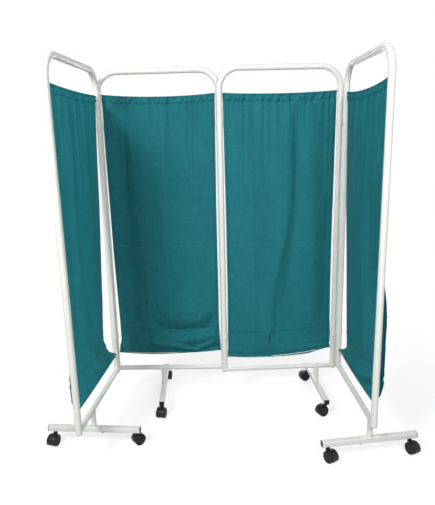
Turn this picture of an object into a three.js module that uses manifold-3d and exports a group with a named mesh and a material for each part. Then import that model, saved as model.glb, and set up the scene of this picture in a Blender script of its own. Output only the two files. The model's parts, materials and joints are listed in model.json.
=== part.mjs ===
// A folding ward screen: four curtained panels on wheeled T feet, joined by figure-8 strap clips.
// Millimetres, +Z up, +X to the viewer's right and +Y away from the viewer.
// Each panel is drawn in a frame of its own: the hinge post stands on the origin, +X runs to the
// other post and Y is square to the panel. Nested groups then stand the panels in their plan.

import * as THREE from 'three';
import { mergeVertices } from 'three/addons/utils/BufferGeometryUtils.js';
import Module from 'manifold-3d';

const wasm = await Module();
wasm.setup();

// How far a cut runs past the faces that it opens
const cutOverrun = 2;

// Panel frame
const panelWidth = 578;
const frameTop = 1713;
const postDiameter = 28.6;
const postWall = 1.2;
const bendRadius = 95;
const postOverhang = 2;
const postSides = 12;
const postBoreSides = 6;
const bendSteps = 6;

// Cross rail, stub and foot bar, welded together as one foot
const railDiameter = 25.4;
const railWall = 1.2;
const stubHeight = 72.4;
const weldGap = 0.3;
const weldFlare = 4;
const footLength = 431;
const footSide = 25.4;
const footWall = 1.5;
const footCornerRadius = 2.5;
const railSides = 12;
const railBoreSides = 6;

// Black plugs in the ends of the foot bar
const plugFlange = 2.5;
const plugDepth = 14;
const plugEase = 1.6;
const plugClearance = 0.3;

// Twin-wheel caster
const casterHeight = 66;
const casterInset = 27;
const casterTrail = 19;
const wheelDiameter = 50;
const wheelWidth = 18.5;
const wheelShoulder = 2.2;
const wheelRim = 5.5;
const wheelDish = 2.4;
const wheelHubWall = 3.5;
const webThickness = 7;
const wheelSideGap = 0.5;
const hoodGap = 1.3;
const hoodWall = 2.2;
const hoodLip = 1.5;
const hoodHubRadius = 8;
const axleDiameter = 6;
const axleClearance = 0.3;
const stemDiameter = 8;
const stemLength = 18;
const stemClearance = 0.4;
const collarDiameter = 13;
const collarHeight = 5;
const bossDiameter = 19;
const bossDrop = 19;
const seatGap = 0.3;
const wheelSides = 12;
const wellSides = 16;
const coverSteps = 10;
const hubSteps = 4;
const bossSides = 10;
const hoodRearAngle = -20;
const hoodFrontAngle = 172;

// Figure-8 strap clips
const clipHeight = 34;
const clipWall = 1.6;
const clipClearance = 0.3;
const clipNeckAngle = 35;
const upperClipDrop = 145;
const lowerClipRise = 92;
const clipSides = 12;

// Curtain and the two wires that it hangs on
const wireDiameter = 4;
const wireReach = 4;
const wireHoleClearance = 0.5;
const topWireDrop = 123;
const bottomWireRise = 93.5;
const topWireSag = 12;
const bottomWireSag = 12;
const casingWall = 1.6;
const casingClearance = 1.4;
const casingMouth = 20;
const clothThickness = 1.6;
const clothEdgeGap = 2;
const clothEdgePull = 7;
const clothCornerPull = 125;
const cornerPullHeight = 0.3;
const billowDepth = 40;
const foldDepth = 6.5;
const foldHold = 0.6;
const foldLean = 0.8;
const narrowFoldShare = 0.65;
const billowAcross = 1.5;
const billowHeight = 0.55;
const wireSides = 6;
const wireSteps = 8;
const clothColumns = 18;
const clothRows = 8;
const casingSteps = 6;

// Sizes that follow from the ones above
const postRadius = postDiameter / 2;
const railRadius = railDiameter / 2;
const hingePitch = postDiameter + 2 * clipClearance + clipWall;
const footMiddle = casterHeight + footSide / 2;
const footTopHeight = casterHeight + footSide;
const railHeight = footTopHeight + stubHeight + railRadius;
const postBottom = railHeight - railRadius - postOverhang;
const topWireHeight = frameTop - topWireDrop;
const bottomWireHeight = railHeight + bottomWireRise;
const wireRadius = wireDiameter / 2;
const casingBore = wireRadius + casingClearance;
const casingRadius = casingBore + casingWall;
const wireFlat = Math.cos(Math.PI / wireSides);
const casingShift = (casingBore - seatGap) / wireFlat - wireRadius;

// Each panel's own values. A heading is the way that its panel runs from its hinge post, in degrees.
// A foot's place is a share of the panel's width: the four shares lie evenly apart in the folded
// stack, so the foot bars pass side by side. A wire's shares give its height at the hinge post and at
// the far post. Sags, billows and the pull at the hinge-side edge are shares of the lengths above.
const panels = [
  {
    number: 1,
    heading: -93.5,
    footPlaceShare: 0.69,
    footTurn: 0,
    sides: ['left', 'right'],
    casterHeadings: [-105, 40],
    topWireShares: [0.998, 1.001],
    topWireSagShare: 0.5,
    bottomWireShares: [0.981, 1.004],
    bottomWireSagShare: 0.3,
    billowShare: -0.5,
    cornerPullShare: 1,
    foldCount: 4,
    foldStart: 0.4,
  },
  {
    number: 2,
    heading: 0,
    footPlaceShare: 0.431,
    footTurn: 3.3,
    sides: ['front', 'back'],
    casterHeadings: [-100, 85],
    topWireShares: [1.002, 0.999],
    topWireSagShare: 1,
    bottomWireShares: [0.996, 1.015],
    bottomWireSagShare: 1,
    billowShare: 0,
    cornerPullShare: 0.1,
    foldCount: 5,
    foldStart: 1.1,
  },
  {
    number: 3,
    heading: 3.3,
    footPlaceShare: 0.849,
    footTurn: 1.5,
    sides: ['front', 'back'],
    casterHeadings: [-155, -165],
    topWireShares: [0.997, 0.998],
    topWireSagShare: 0.65,
    bottomWireShares: [0.922, 1.041],
    bottomWireSagShare: 1.8,
    billowShare: 0,
    cornerPullShare: 0.1,
    foldCount: 5,
    foldStart: 2.3,
  },
  {
    number: 4,
    heading: -87.2,
    footPlaceShare: 0.924,
    footTurn: 6,
    sides: ['left', 'right'],
    casterHeadings: [-55, -62],
    topWireShares: [0.992, 0.996],
    topWireSagShare: 1.4,
    bottomWireShares: [1.007, 1],
    bottomWireSagShare: 0.4,
    billowShare: 1,
    cornerPullShare: 0.8,
    foldCount: 4,
    foldStart: 3.6,
  },
];

// The way that each pair of clips points, from the post of its first panel to the post of its second
const linkHeadings = { 12: -90, 23: -81, 34: 3.3 };

// The two wires of each panel: their heights at the hinge post and the far post, and their sags
for (const panel of panels) {
  panel.topWire = {
    heights: panel.topWireShares.map((share) => share * topWireHeight),
    sag: panel.topWireSagShare * topWireSag,
  };
  panel.bottomWire = {
    heights: panel.bottomWireShares.map((share) => share * bottomWireHeight),
    sag: panel.bottomWireSagShare * bottomWireSag,
  };
}

const powderCoat = { color: 0xe9ece6, roughness: 0.38, metalness: 0.05 };
const blackPlastic = { color: 0x1b1c1d, roughness: 0.5, metalness: 0 };
const greyPlastic = { color: 0x333436, roughness: 0.45, metalness: 0 };
const wireSteel = { color: 0xb9bcbc, roughness: 0.35, metalness: 0.9 };
const tealCloth = { color: 0x2f7f88, roughness: 0.9, metalness: 0 };

/** The corners of a regular polygon. Where it is an opening, its flats lie at the radius instead. */
function ringPoints(radius, sides, isOpening = false) {
  const reach = isOpening ? radius / Math.cos(Math.PI / sides) : radius;
  return Array.from({ length: sides }, (_, i) => {
    const angle = ((i + 0.5) * 2 * Math.PI) / sides;
    return new THREE.Vector2(reach * Math.cos(angle), reach * Math.sin(angle));
  });
}

/** The corners of a square with rounded corners. */
function roundedSquarePoints(side, radius, cornerSteps) {
  const middle = side / 2 - radius;
  const points = [];
  for (let corner = 0; corner < 4; corner += 1) {
    const turn = (corner * Math.PI) / 2;
    const centre = new THREE.Vector2(middle, middle).rotateAround(new THREE.Vector2(), turn);
    for (let i = 0; i <= cornerSteps; i += 1) {
      const angle = turn + (i * Math.PI) / 2 / cornerSteps;
      points.push(new THREE.Vector2(radius * Math.cos(angle), radius * Math.sin(angle)).add(centre));
    }
  }
  return points;
}

/** The same loop of points, running the way asked for. */
function wound(loop, clockwise) {
  return THREE.ShapeUtils.isClockWise(loop) === clockwise ? loop : [...loop].reverse();
}

/** A closed solid drawn through a row of sections: an outline with its holes, placed once a station. */
function loft(outline, holes, stations) {
  const edge = wound(outline, false);
  const openings = holes.map((hole) => wound(hole, true));
  const loops = [edge, ...openings];
  const points = loops.flat();
  const positions = stations.flatMap((place) => points.flatMap((point) => place(point).toArray()));
  const index = [];
  const lastSection = (stations.length - 1) * points.length;
  for (const corners of THREE.ShapeUtils.triangulateShape(edge, openings)) {
    const isClockwise = THREE.ShapeUtils.isClockWise(corners.map((corner) => points[corner]));
    const [a, b, c] = isClockwise ? [...corners].reverse() : corners;
    index.push(c, b, a, lastSection + a, lastSection + b, lastSection + c);
  }
  for (let station = 0; station < stations.length - 1; station += 1) {
    let start = station * points.length;
    for (const loop of loops) {
      for (let i = 0; i < loop.length; i += 1) {
        const here = start + i;
        const next = start + ((i + 1) % loop.length);
        const [above, nextAbove] = [here + points.length, next + points.length];
        index.push(here, next, nextAbove, here, nextAbove, above);
      }
      start += loop.length;
    }
  }
  const geometry = new THREE.BufferGeometry();
  geometry.setAttribute('position', new THREE.Float32BufferAttribute(positions, 3));
  geometry.setIndex(index);
  return facesOut(geometry);
}

/** The same solid with its faces pointing out, found from the sign of its volume. */
function facesOut(geometry) {
  const position = geometry.getAttribute('position');
  const index = geometry.getIndex().array;
  const corners = [new THREE.Vector3(), new THREE.Vector3(), new THREE.Vector3()];
  let volume = 0;
  for (let i = 0; i < index.length; i += 3) {
    corners.forEach((corner, k) => corner.fromBufferAttribute(position, index[i + k]));
    volume += corners[0].dot(corners[1].clone().cross(corners[2]));
  }
  if (volume < 0) {
    for (let i = 0; i < index.length; i += 3) {
      [index[i], index[i + 1]] = [index[i + 1], index[i]];
    }
  }
  return geometry;
}

/** A closed geometry as a solid that can be joined and cut. */
function solidFrom(geometry) {
  const bare = geometry.clone();
  for (const name of ['normal', 'uv']) {
    bare.deleteAttribute(name);
  }
  const merged = facesOut(mergeVertices(bare));
  const vertProperties = new Float32Array(merged.getAttribute('position').array);
  const triVerts = new Uint32Array(merged.getIndex().array);
  return new wasm.Manifold(new wasm.Mesh({ numProp: 3, vertProperties, triVerts }));
}

/** A joined or cut solid as a geometry. */
function geometryFrom(solid) {
  const mesh = solid.getMesh();
  const geometry = new THREE.BufferGeometry();
  geometry.setAttribute('position', new THREE.BufferAttribute(mesh.vertProperties, 3));
  geometry.setIndex(new THREE.BufferAttribute(mesh.triVerts, 1));
  return geometry;
}

/** A bar of one section along an axis, from a start to an end on that axis. */
function bar(points, axis, start, end) {
  const stations = [start, end].map((along) => (point) => {
    if (axis === 'x') return new THREE.Vector3(along, point.x, point.y);
    if (axis === 'y') return new THREE.Vector3(point.x, along, point.y);
    return new THREE.Vector3(point.x, point.y, along);
  });
  return loft(points, [], stations);
}

/** A solid turned about the Z axis, from a profile of radii and heights. */
function turned(profile, sides) {
  const lathe = new THREE.LatheGeometry(profile, sides);
  lathe.rotateX(Math.PI / 2);
  return lathe;
}

function meshOf(name, geometry, finish) {
  const mesh = new THREE.Mesh(geometry, new THREE.MeshStandardMaterial(finish));
  mesh.name = name;
  return mesh;
}

/** The stations of the bent tube: its straight posts need only their ends, and the bends a few steps. */
function frameStations() {
  const topLine = frameTop - postRadius;
  const bendCentres = [
    { x: bendRadius, from: Math.PI },
    { x: panelWidth - bendRadius, from: Math.PI / 2 },
  ];
  const line = [{ x: 0, z: postBottom, outward: Math.PI }];
  for (const { x, from } of bendCentres) {
    for (let i = 0; i <= bendSteps; i += 1) {
      const angle = from - (i * Math.PI) / 2 / bendSteps;
      line.push({
        x: x + bendRadius * Math.cos(angle),
        z: topLine - bendRadius + bendRadius * Math.sin(angle),
        outward: angle,
      });
    }
  }
  line.push({ x: panelWidth, z: postBottom, outward: 0 });
  return line.map(({ x, z, outward }) => (point) => new THREE.Vector3(
    x + point.x * Math.cos(outward),
    point.y,
    z + point.x * Math.sin(outward),
  ));
}

/** The upside-down U of one tube, with a hole in each post for the end of each curtain wire. */
function frameGeometry(panel) {
  const tube = loft(
    ringPoints(postRadius, postSides),
    [ringPoints(postRadius - postWall, postBoreSides)],
    frameStations(),
  );
  let solid = solidFrom(tube);
  const holePoints = ringPoints(wireRadius + wireHoleClearance, wireSides, true);
  for (const { heights } of [panel.topWire, panel.bottomWire]) {
    heights.forEach((height, end) => {
      const start = end * panelWidth;
      const hole = bar(holePoints, 'x', start, start + (1 - 2 * end) * postDiameter);
      hole.translate(0, 0, height);
      solid = solid.subtract(solidFrom(hole));
    });
  }
  return geometryFrom(solid);
}

/** The welded foot: rail, stub and bar with one hollow inside, open at the ends of the rail and bar. */
function baseGeometry(panel) {
  const footX = panel.footPlaceShare * panelWidth;
  const turn = THREE.MathUtils.degToRad(panel.footTurn);
  const welded = (wallOfRail, wallOfFoot, sides, cornerSteps, overrun) => {
    const rail = bar(ringPoints(railRadius - wallOfRail, sides), 'x', 0, panelWidth);
    rail.translate(0, 0, railHeight);
    const stub = bar(ringPoints(railRadius - wallOfRail, sides), 'z', footMiddle, railHeight);
    stub.translate(footX, 0, 0);
    const cornerRadius = footCornerRadius - wallOfFoot / 2;
    const footPoints = roundedSquarePoints(footSide - 2 * wallOfFoot, cornerRadius, cornerSteps);
    const half = footLength / 2 + overrun;
    const foot = bar(footPoints, 'y', -half, half);
    foot.rotateZ(turn);
    foot.translate(footX, 0, footMiddle);
    return [rail, stub, foot].map(solidFrom).reduce((sum, next) => sum.add(next));
  };
  const flare = turned([
    new THREE.Vector2(0, -weldFlare),
    new THREE.Vector2(railRadius, -weldFlare),
    new THREE.Vector2(railRadius - footCornerRadius + weldFlare, 0),
    new THREE.Vector2(railRadius, weldFlare),
    new THREE.Vector2(0, weldFlare),
  ], railSides);
  flare.translate(footX, 0, footTopHeight);
  let solid = welded(0, 0, railSides, 2, 0).add(solidFrom(flare));
  solid = solid.subtract(welded(railWall, footWall, railBoreSides, 1, cutOverrun));
  const postSpace = ringPoints(postRadius + weldGap, postSides, true);
  for (const x of [0, panelWidth]) {
    const cope = bar(postSpace, 'z', footMiddle, railHeight + postDiameter);
    cope.translate(x, 0, 0);
    solid = solid.subtract(solidFrom(cope));
  }
  const stemHole = ringPoints(stemDiameter / 2 + stemClearance, postBoreSides, true);
  for (const side of [-1, 1]) {
    const hole = bar(stemHole, 'z', casterHeight - cutOverrun, footMiddle);
    hole.translate(0, side * (footLength / 2 - casterInset), 0);
    hole.rotateZ(turn);
    hole.translate(footX, 0, 0);
    solid = solid.subtract(solidFrom(hole));
  }
  return geometryFrom(solid);
}

/** A plug: an eased flange over the end of the foot bar and a square tongue inside it, along +Y. */
function plugGeometry() {
  const tongue = footSide - 2 * (footWall + plugClearance);
  const square = roundedSquarePoints(1, footCornerRadius / footSide, 1);
  const stations = [
    { y: -plugDepth, side: tongue - plugEase },
    { y: -plugDepth + plugEase, side: tongue },
    { y: 0, side: tongue },
    { y: 0, side: footSide },
    { y: plugFlange - plugEase / 2, side: footSide },
    { y: plugFlange, side: footSide - plugEase },
  ];
  return loft(square, [], stations.map(({ y, side }) => (point) => (
    new THREE.Vector3(point.x * side, y, point.y * side)
  )));
}

/** A wheel of the caster, turned about its axle, which runs along +Y from the blind bore's mouth. */
function wheelGeometry() {
  const radius = wheelDiameter / 2 / Math.cos(Math.PI / wheelSides);
  const dishRadius = radius - wheelRim;
  const bore = (axleDiameter / 2 + axleClearance) / Math.cos(Math.PI / wheelSides);
  const profile = [
    [0, wheelWidth - wheelHubWall],
    [bore, wheelWidth - wheelHubWall],
    [bore, 0],
    [radius - wheelShoulder, 0],
    [radius, wheelShoulder],
    [radius, wheelWidth - wheelShoulder],
    [radius - wheelShoulder, wheelWidth],
    [dishRadius, wheelWidth],
    [dishRadius - wheelDish, wheelWidth - wheelDish],
    [0, wheelWidth - wheelDish / 2],
  ].map(([r, along]) => new THREE.Vector2(r, along));
  const wheel = new THREE.LatheGeometry(profile, wheelSides);
  wheel.rotateY(Math.PI / wheelSides);
  return geometryFrom(solidFrom(wheel));
}

/** The hood with its web, stem boss, stem and axle. The stem stands on the origin, +X trails. */
function hoodGeometry() {
  const hoodRadius = wheelDiameter / 2 / Math.cos(Math.PI / wheelSides) + hoodGap + hoodWall;
  const hoodWidth = 2 * (wheelWidth + wheelSideGap - hoodLip) + webThickness;
  const [rear, front] = [hoodRearAngle, hoodFrontAngle].map(THREE.MathUtils.degToRad);
  const arc = (radius, from, to, steps) => Array.from({ length: steps + 1 }, (_, i) => {
    const angle = from + ((to - from) * i) / steps;
    return new THREE.Vector2(radius * Math.cos(angle), radius * Math.sin(angle));
  });
  const cover = [
    ...arc(hoodRadius, rear, front, coverSteps),
    ...arc(hoodHubRadius, front, rear + 2 * Math.PI, hubSteps),
  ];
  const body = bar(cover, 'y', -hoodWidth / 2, hoodWidth / 2);
  const axleHalf = webThickness / 2 + wheelSideGap + wheelWidth - wheelHubWall - seatGap;
  const axle = bar(ringPoints(axleDiameter / 2, bossSides), 'y', -axleHalf, axleHalf);
  const wellPoints = ringPoints(hoodRadius - hoodWall, wellSides, true);
  const wells = [-1, 1].map((side) => (
    bar(wellPoints, 'y', side * (webThickness / 2), side * hoodWidth)
  ));
  for (const piece of [body, axle, ...wells]) {
    piece.translate(casterTrail, 0, wheelDiameter / 2);
  }
  const bossTop = casterHeight - collarHeight;
  const bossEdge = (bossDiameter - collarDiameter) / 2;
  const boss = turned([
    new THREE.Vector2(0, bossTop - bossDrop),
    new THREE.Vector2(bossDiameter / 2, bossTop - bossDrop),
    new THREE.Vector2(bossDiameter / 2, bossTop - bossEdge),
    new THREE.Vector2(collarDiameter / 2, bossTop),
    new THREE.Vector2(collarDiameter / 2, casterHeight - seatGap),
    new THREE.Vector2(stemDiameter / 2, casterHeight - seatGap),
    new THREE.Vector2(stemDiameter / 2, casterHeight + stemLength),
    new THREE.Vector2(0, casterHeight + stemLength),
  ], bossSides);
  const outer = solidFrom(body).add(solidFrom(boss));
  const hollowed = wells.map(solidFrom).reduce((solid, well) => solid.subtract(well), outer);
  return geometryFrom(hollowed.add(solidFrom(axle)));
}

/** One caster in its own group, so that it turns about its stem. */
function caster(name) {
  const group = new THREE.Group();
  group.add(meshOf(`${name}_hood`, hoodGeometry(), greyPlastic));
  [['a', -1], ['b', 1]].forEach(([letter, side]) => {
    const wheel = meshOf(`${name}_wheel_${letter}`, wheelGeometry(), blackPlastic);
    wheel.position.set(casterTrail, side * (webThickness / 2 + wheelSideGap), wheelDiameter / 2);
    if (side < 0) wheel.rotation.z = Math.PI;
    group.add(wheel);
  });
  return group;
}

/** A strap clip: two rings side by side, each round a post, joined by a short neck. */
function clipGeometry() {
  const outerRadius = postRadius + clipClearance + clipWall;
  const neck = THREE.MathUtils.degToRad(clipNeckAngle);
  const steps = (clipSides * 3) / 4;
  const outline = [];
  for (const [centre, from] of [[hingePitch, -Math.PI + neck], [0, neck]]) {
    for (let i = 0; i <= steps; i += 1) {
      const angle = from + ((2 * Math.PI - 2 * neck) * i) / steps;
      outline.push(new THREE.Vector2(
        centre + outerRadius * Math.cos(angle),
        outerRadius * Math.sin(angle),
      ));
    }
  }
  const shape = new THREE.Shape(outline);
  for (const centre of [0, hingePitch]) {
    const hole = ringPoints(postRadius + clipClearance, clipSides, true);
    hole.forEach((point) => point.add(new THREE.Vector2(centre, 0)));
    shape.holes.push(new THREE.Path(hole));
  }
  const strap = new THREE.ExtrudeGeometry(shape, { depth: clipHeight, bevelEnabled: false });
  return geometryFrom(solidFrom(strap));
}

/** The height of a wire's middle line: level inside the posts, and a shallow sag between them. */
function wireLine(x, { heights, sag }) {
  const span = panelWidth - 2 * postRadius;
  const share = THREE.MathUtils.clamp((x - postRadius) / span, 0, 1);
  return THREE.MathUtils.lerp(heights[0], heights[1], share) - 4 * sag * share * (1 - share);
}

function wireGeometry(wire) {
  const inset = postRadius - wireReach;
  const places = [inset];
  for (let i = 0; i <= wireSteps; i += 1) {
    places.push(THREE.MathUtils.lerp(postRadius, panelWidth - postRadius, i / wireSteps));
  }
  places.push(panelWidth - inset);
  return loft(ringPoints(wireRadius, wireSides), [], places.map((x) => (point) => (
    new THREE.Vector3(x, point.x, point.y + wireLine(x, wire))
  )));
}

/**
 * How far the cloth stands off the panel's plane, across its width and height as shares. Its folds
 * die out at the wires and lean a little on their way up, and it billows low down at its far edge.
 */
function clothOffset(panel, acrossShare, heightShare) {
  const held = Math.sin(Math.PI * heightShare) ** foldHold;
  const phase = panel.foldStart + foldLean * heightShare;
  const narrow = Math.cos(2 * Math.PI * panel.foldCount * acrossShare + phase);
  const wide = Math.cos(2 * Math.PI * (panel.foldCount - 2) * acrossShare - 2 * phase);
  const fold = THREE.MathUtils.lerp(wide, narrow, narrowFoldShare);
  const bulge = acrossShare ** billowAcross * Math.sin(Math.PI * heightShare ** billowHeight);
  return foldDepth * held * fold + panel.billowShare * billowDepth * bulge;
}

/** A curtain: a sheet with its folds, and a round casing for the wire along its top and its bottom. */
function curtainGeometry(panel) {
  const face = (sign, shares) => shares.map((share) => ({ share, across: sign, up: 0 }));
  const rowShares = Array.from({ length: clothRows - 1 }, (_, i) => (i + 1) / clothRows);
  const casing = (share, sheetAngle) => Array.from({ length: casingSteps + 1 }, (_, i) => {
    const turn = casingMouth + ((360 - 2 * casingMouth) * i) / casingSteps;
    const angle = THREE.MathUtils.degToRad(sheetAngle + turn);
    return { share, across: casingRadius * Math.cos(angle), up: casingRadius * Math.sin(angle) };
  });
  const half = clothThickness / 2;
  const outline = [
    ...casing(0, 90),
    ...face(half, rowShares),
    ...casing(1, -90),
    ...face(-half, [...rowShares].reverse()),
  ];
  const bores = [0, 1].map((share) => {
    const points = ringPoints(casingBore, wireSides, true);
    return points.map((point) => ({ share, across: point.x, up: point.y }));
  });
  const flat = ({ share, across, up }) => (
    new THREE.Vector2(across, share * (topWireHeight - bottomWireHeight) + up)
  );
  const loops = [outline, ...bores];
  const lookup = new Map();
  const flatLoops = loops.map((loop) => loop.map((point) => {
    const flatPoint = flat(point);
    lookup.set(flatPoint, point);
    return flatPoint;
  }));
  const place = (columnShare) => (flatPoint) => {
    const { share, across, up } = lookup.get(flatPoint);
    const edge = postRadius + clothEdgeGap + clothEdgePull * Math.sin(Math.PI * share);
    const pull = panel.cornerPullShare * Math.sin(Math.PI * share ** cornerPullHeight);
    const hingeEdge = edge + clothCornerPull * pull;
    const x = THREE.MathUtils.lerp(hingeEdge, panelWidth - edge, columnShare);
    const top = wireLine(x, panel.topWire) - casingShift;
    const bottom = wireLine(x, panel.bottomWire) + casingShift;
    const y = across + clothOffset(panel, columnShare, share);
    return new THREE.Vector3(x, y, THREE.MathUtils.lerp(bottom, top, share) + up);
  };
  const columns = Array.from({ length: clothColumns + 1 }, (_, i) => place(i / clothColumns));
  return loft(flatLoops[0], flatLoops.slice(1), columns);
}

/** Everything that one panel carries, in a group that stands on its hinge post. */
function panelGroup(panel) {
  const group = new THREE.Group();
  const { number } = panel;
  group.add(
    meshOf(`frame_${number}`, frameGeometry(panel), powderCoat),
    meshOf(`base_${number}`, baseGeometry(panel), powderCoat),
    meshOf(`curtain_${number}`, curtainGeometry(panel), tealCloth),
    meshOf(`top_wire_${number}`, wireGeometry(panel.topWire), wireSteel),
    meshOf(`bottom_wire_${number}`, wireGeometry(panel.bottomWire), wireSteel),
  );
  const foot = new THREE.Group();
  foot.position.x = panel.footPlaceShare * panelWidth;
  foot.rotation.z = THREE.MathUtils.degToRad(panel.footTurn);
  panel.sides.forEach((side, i) => {
    const sign = 2 * i - 1;
    const plug = meshOf(`end_plug_${number}_${side}`, plugGeometry(), blackPlastic);
    plug.position.set(0, sign * (footLength / 2 + seatGap), footMiddle);
    if (sign < 0) plug.rotation.z = Math.PI;
    const wheels = caster(`caster_${number}_${side}`);
    wheels.position.y = sign * (footLength / 2 - casterInset);
    wheels.rotation.z = THREE.MathUtils.degToRad(
      panel.casterHeadings[i] - panel.heading - panel.footTurn,
    );
    foot.add(plug, wheels);
  });
  group.add(foot);
  return group;
}

/** A step along a heading in the plan. */
function stepAlong(start, heading, distance) {
  const angle = THREE.MathUtils.degToRad(heading);
  return new THREE.Vector3(
    start.x + distance * Math.cos(angle),
    start.y + distance * Math.sin(angle),
    0,
  );
}

/** The two clips of one hinge line, in a group that stands on the first post that they hold. */
function clipPair(pair, post, heading) {
  const group = new THREE.Group();
  group.position.copy(post);
  group.rotation.z = THREE.MathUtils.degToRad(heading);
  const levels = [
    ['upper', topWireHeight - upperClipDrop],
    ['lower', bottomWireHeight + lowerClipRise],
  ];
  for (const [level, height] of levels) {
    const clip = meshOf(`clip_${pair}_${level}`, clipGeometry(), powderCoat);
    clip.position.z = height - clipHeight / 2;
    group.add(clip);
  }
  return group;
}

// The plan: panel 2 stands along X, and each hinge line starts from a post of its neighbour.
const [panel1, panel2, panel3, panel4] = panels;
const post2Left = new THREE.Vector3();
const post2Right = stepAlong(post2Left, panel2.heading, panelWidth);
const post1 = stepAlong(post2Left, linkHeadings[12], hingePitch);
const post3Left = stepAlong(post2Right, linkHeadings[23], hingePitch);
const post3Right = stepAlong(post3Left, panel3.heading, panelWidth);
const post4 = stepAlong(post3Right, linkHeadings[34], hingePitch);

const screen = new THREE.Group();
for (const [panel, post] of [
  [panel1, post1],
  [panel2, post2Left],
  [panel3, post3Left],
  [panel4, post4],
]) {
  const group = panelGroup(panel);
  group.position.copy(post);
  group.rotation.z = THREE.MathUtils.degToRad(panel.heading);
  screen.add(group);
}
screen.add(
  clipPair('12', post2Left, linkHeadings[12]),
  clipPair('23', post2Right, linkHeadings[23]),
  clipPair('34', post3Right, linkHeadings[34]),
);

// The origin is at the middle of the screen's box, on the floor.
screen.updateMatrixWorld(true);
const box = new THREE.Box3().setFromObject(screen, true);
const middle = box.getCenter(new THREE.Vector3());
screen.position.set(-middle.x, -middle.y, -box.min.z);
screen.updateMatrixWorld(true);

export default screen;
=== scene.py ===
# %% [markdown]
# # A folding ward screen on casters
# Four panels of bent steel tube stand on wheeled feet and are strapped post to post. A teal curtain
# hangs in each panel. The frame that this script loads has every piece at its real size and in its
# place, and the cells below dress it: they give each piece its fine surface and its finish.
# Everything is in metres, +Z up, +X to the viewer's right and +Y away from the viewer.

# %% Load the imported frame
import json
import math

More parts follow.
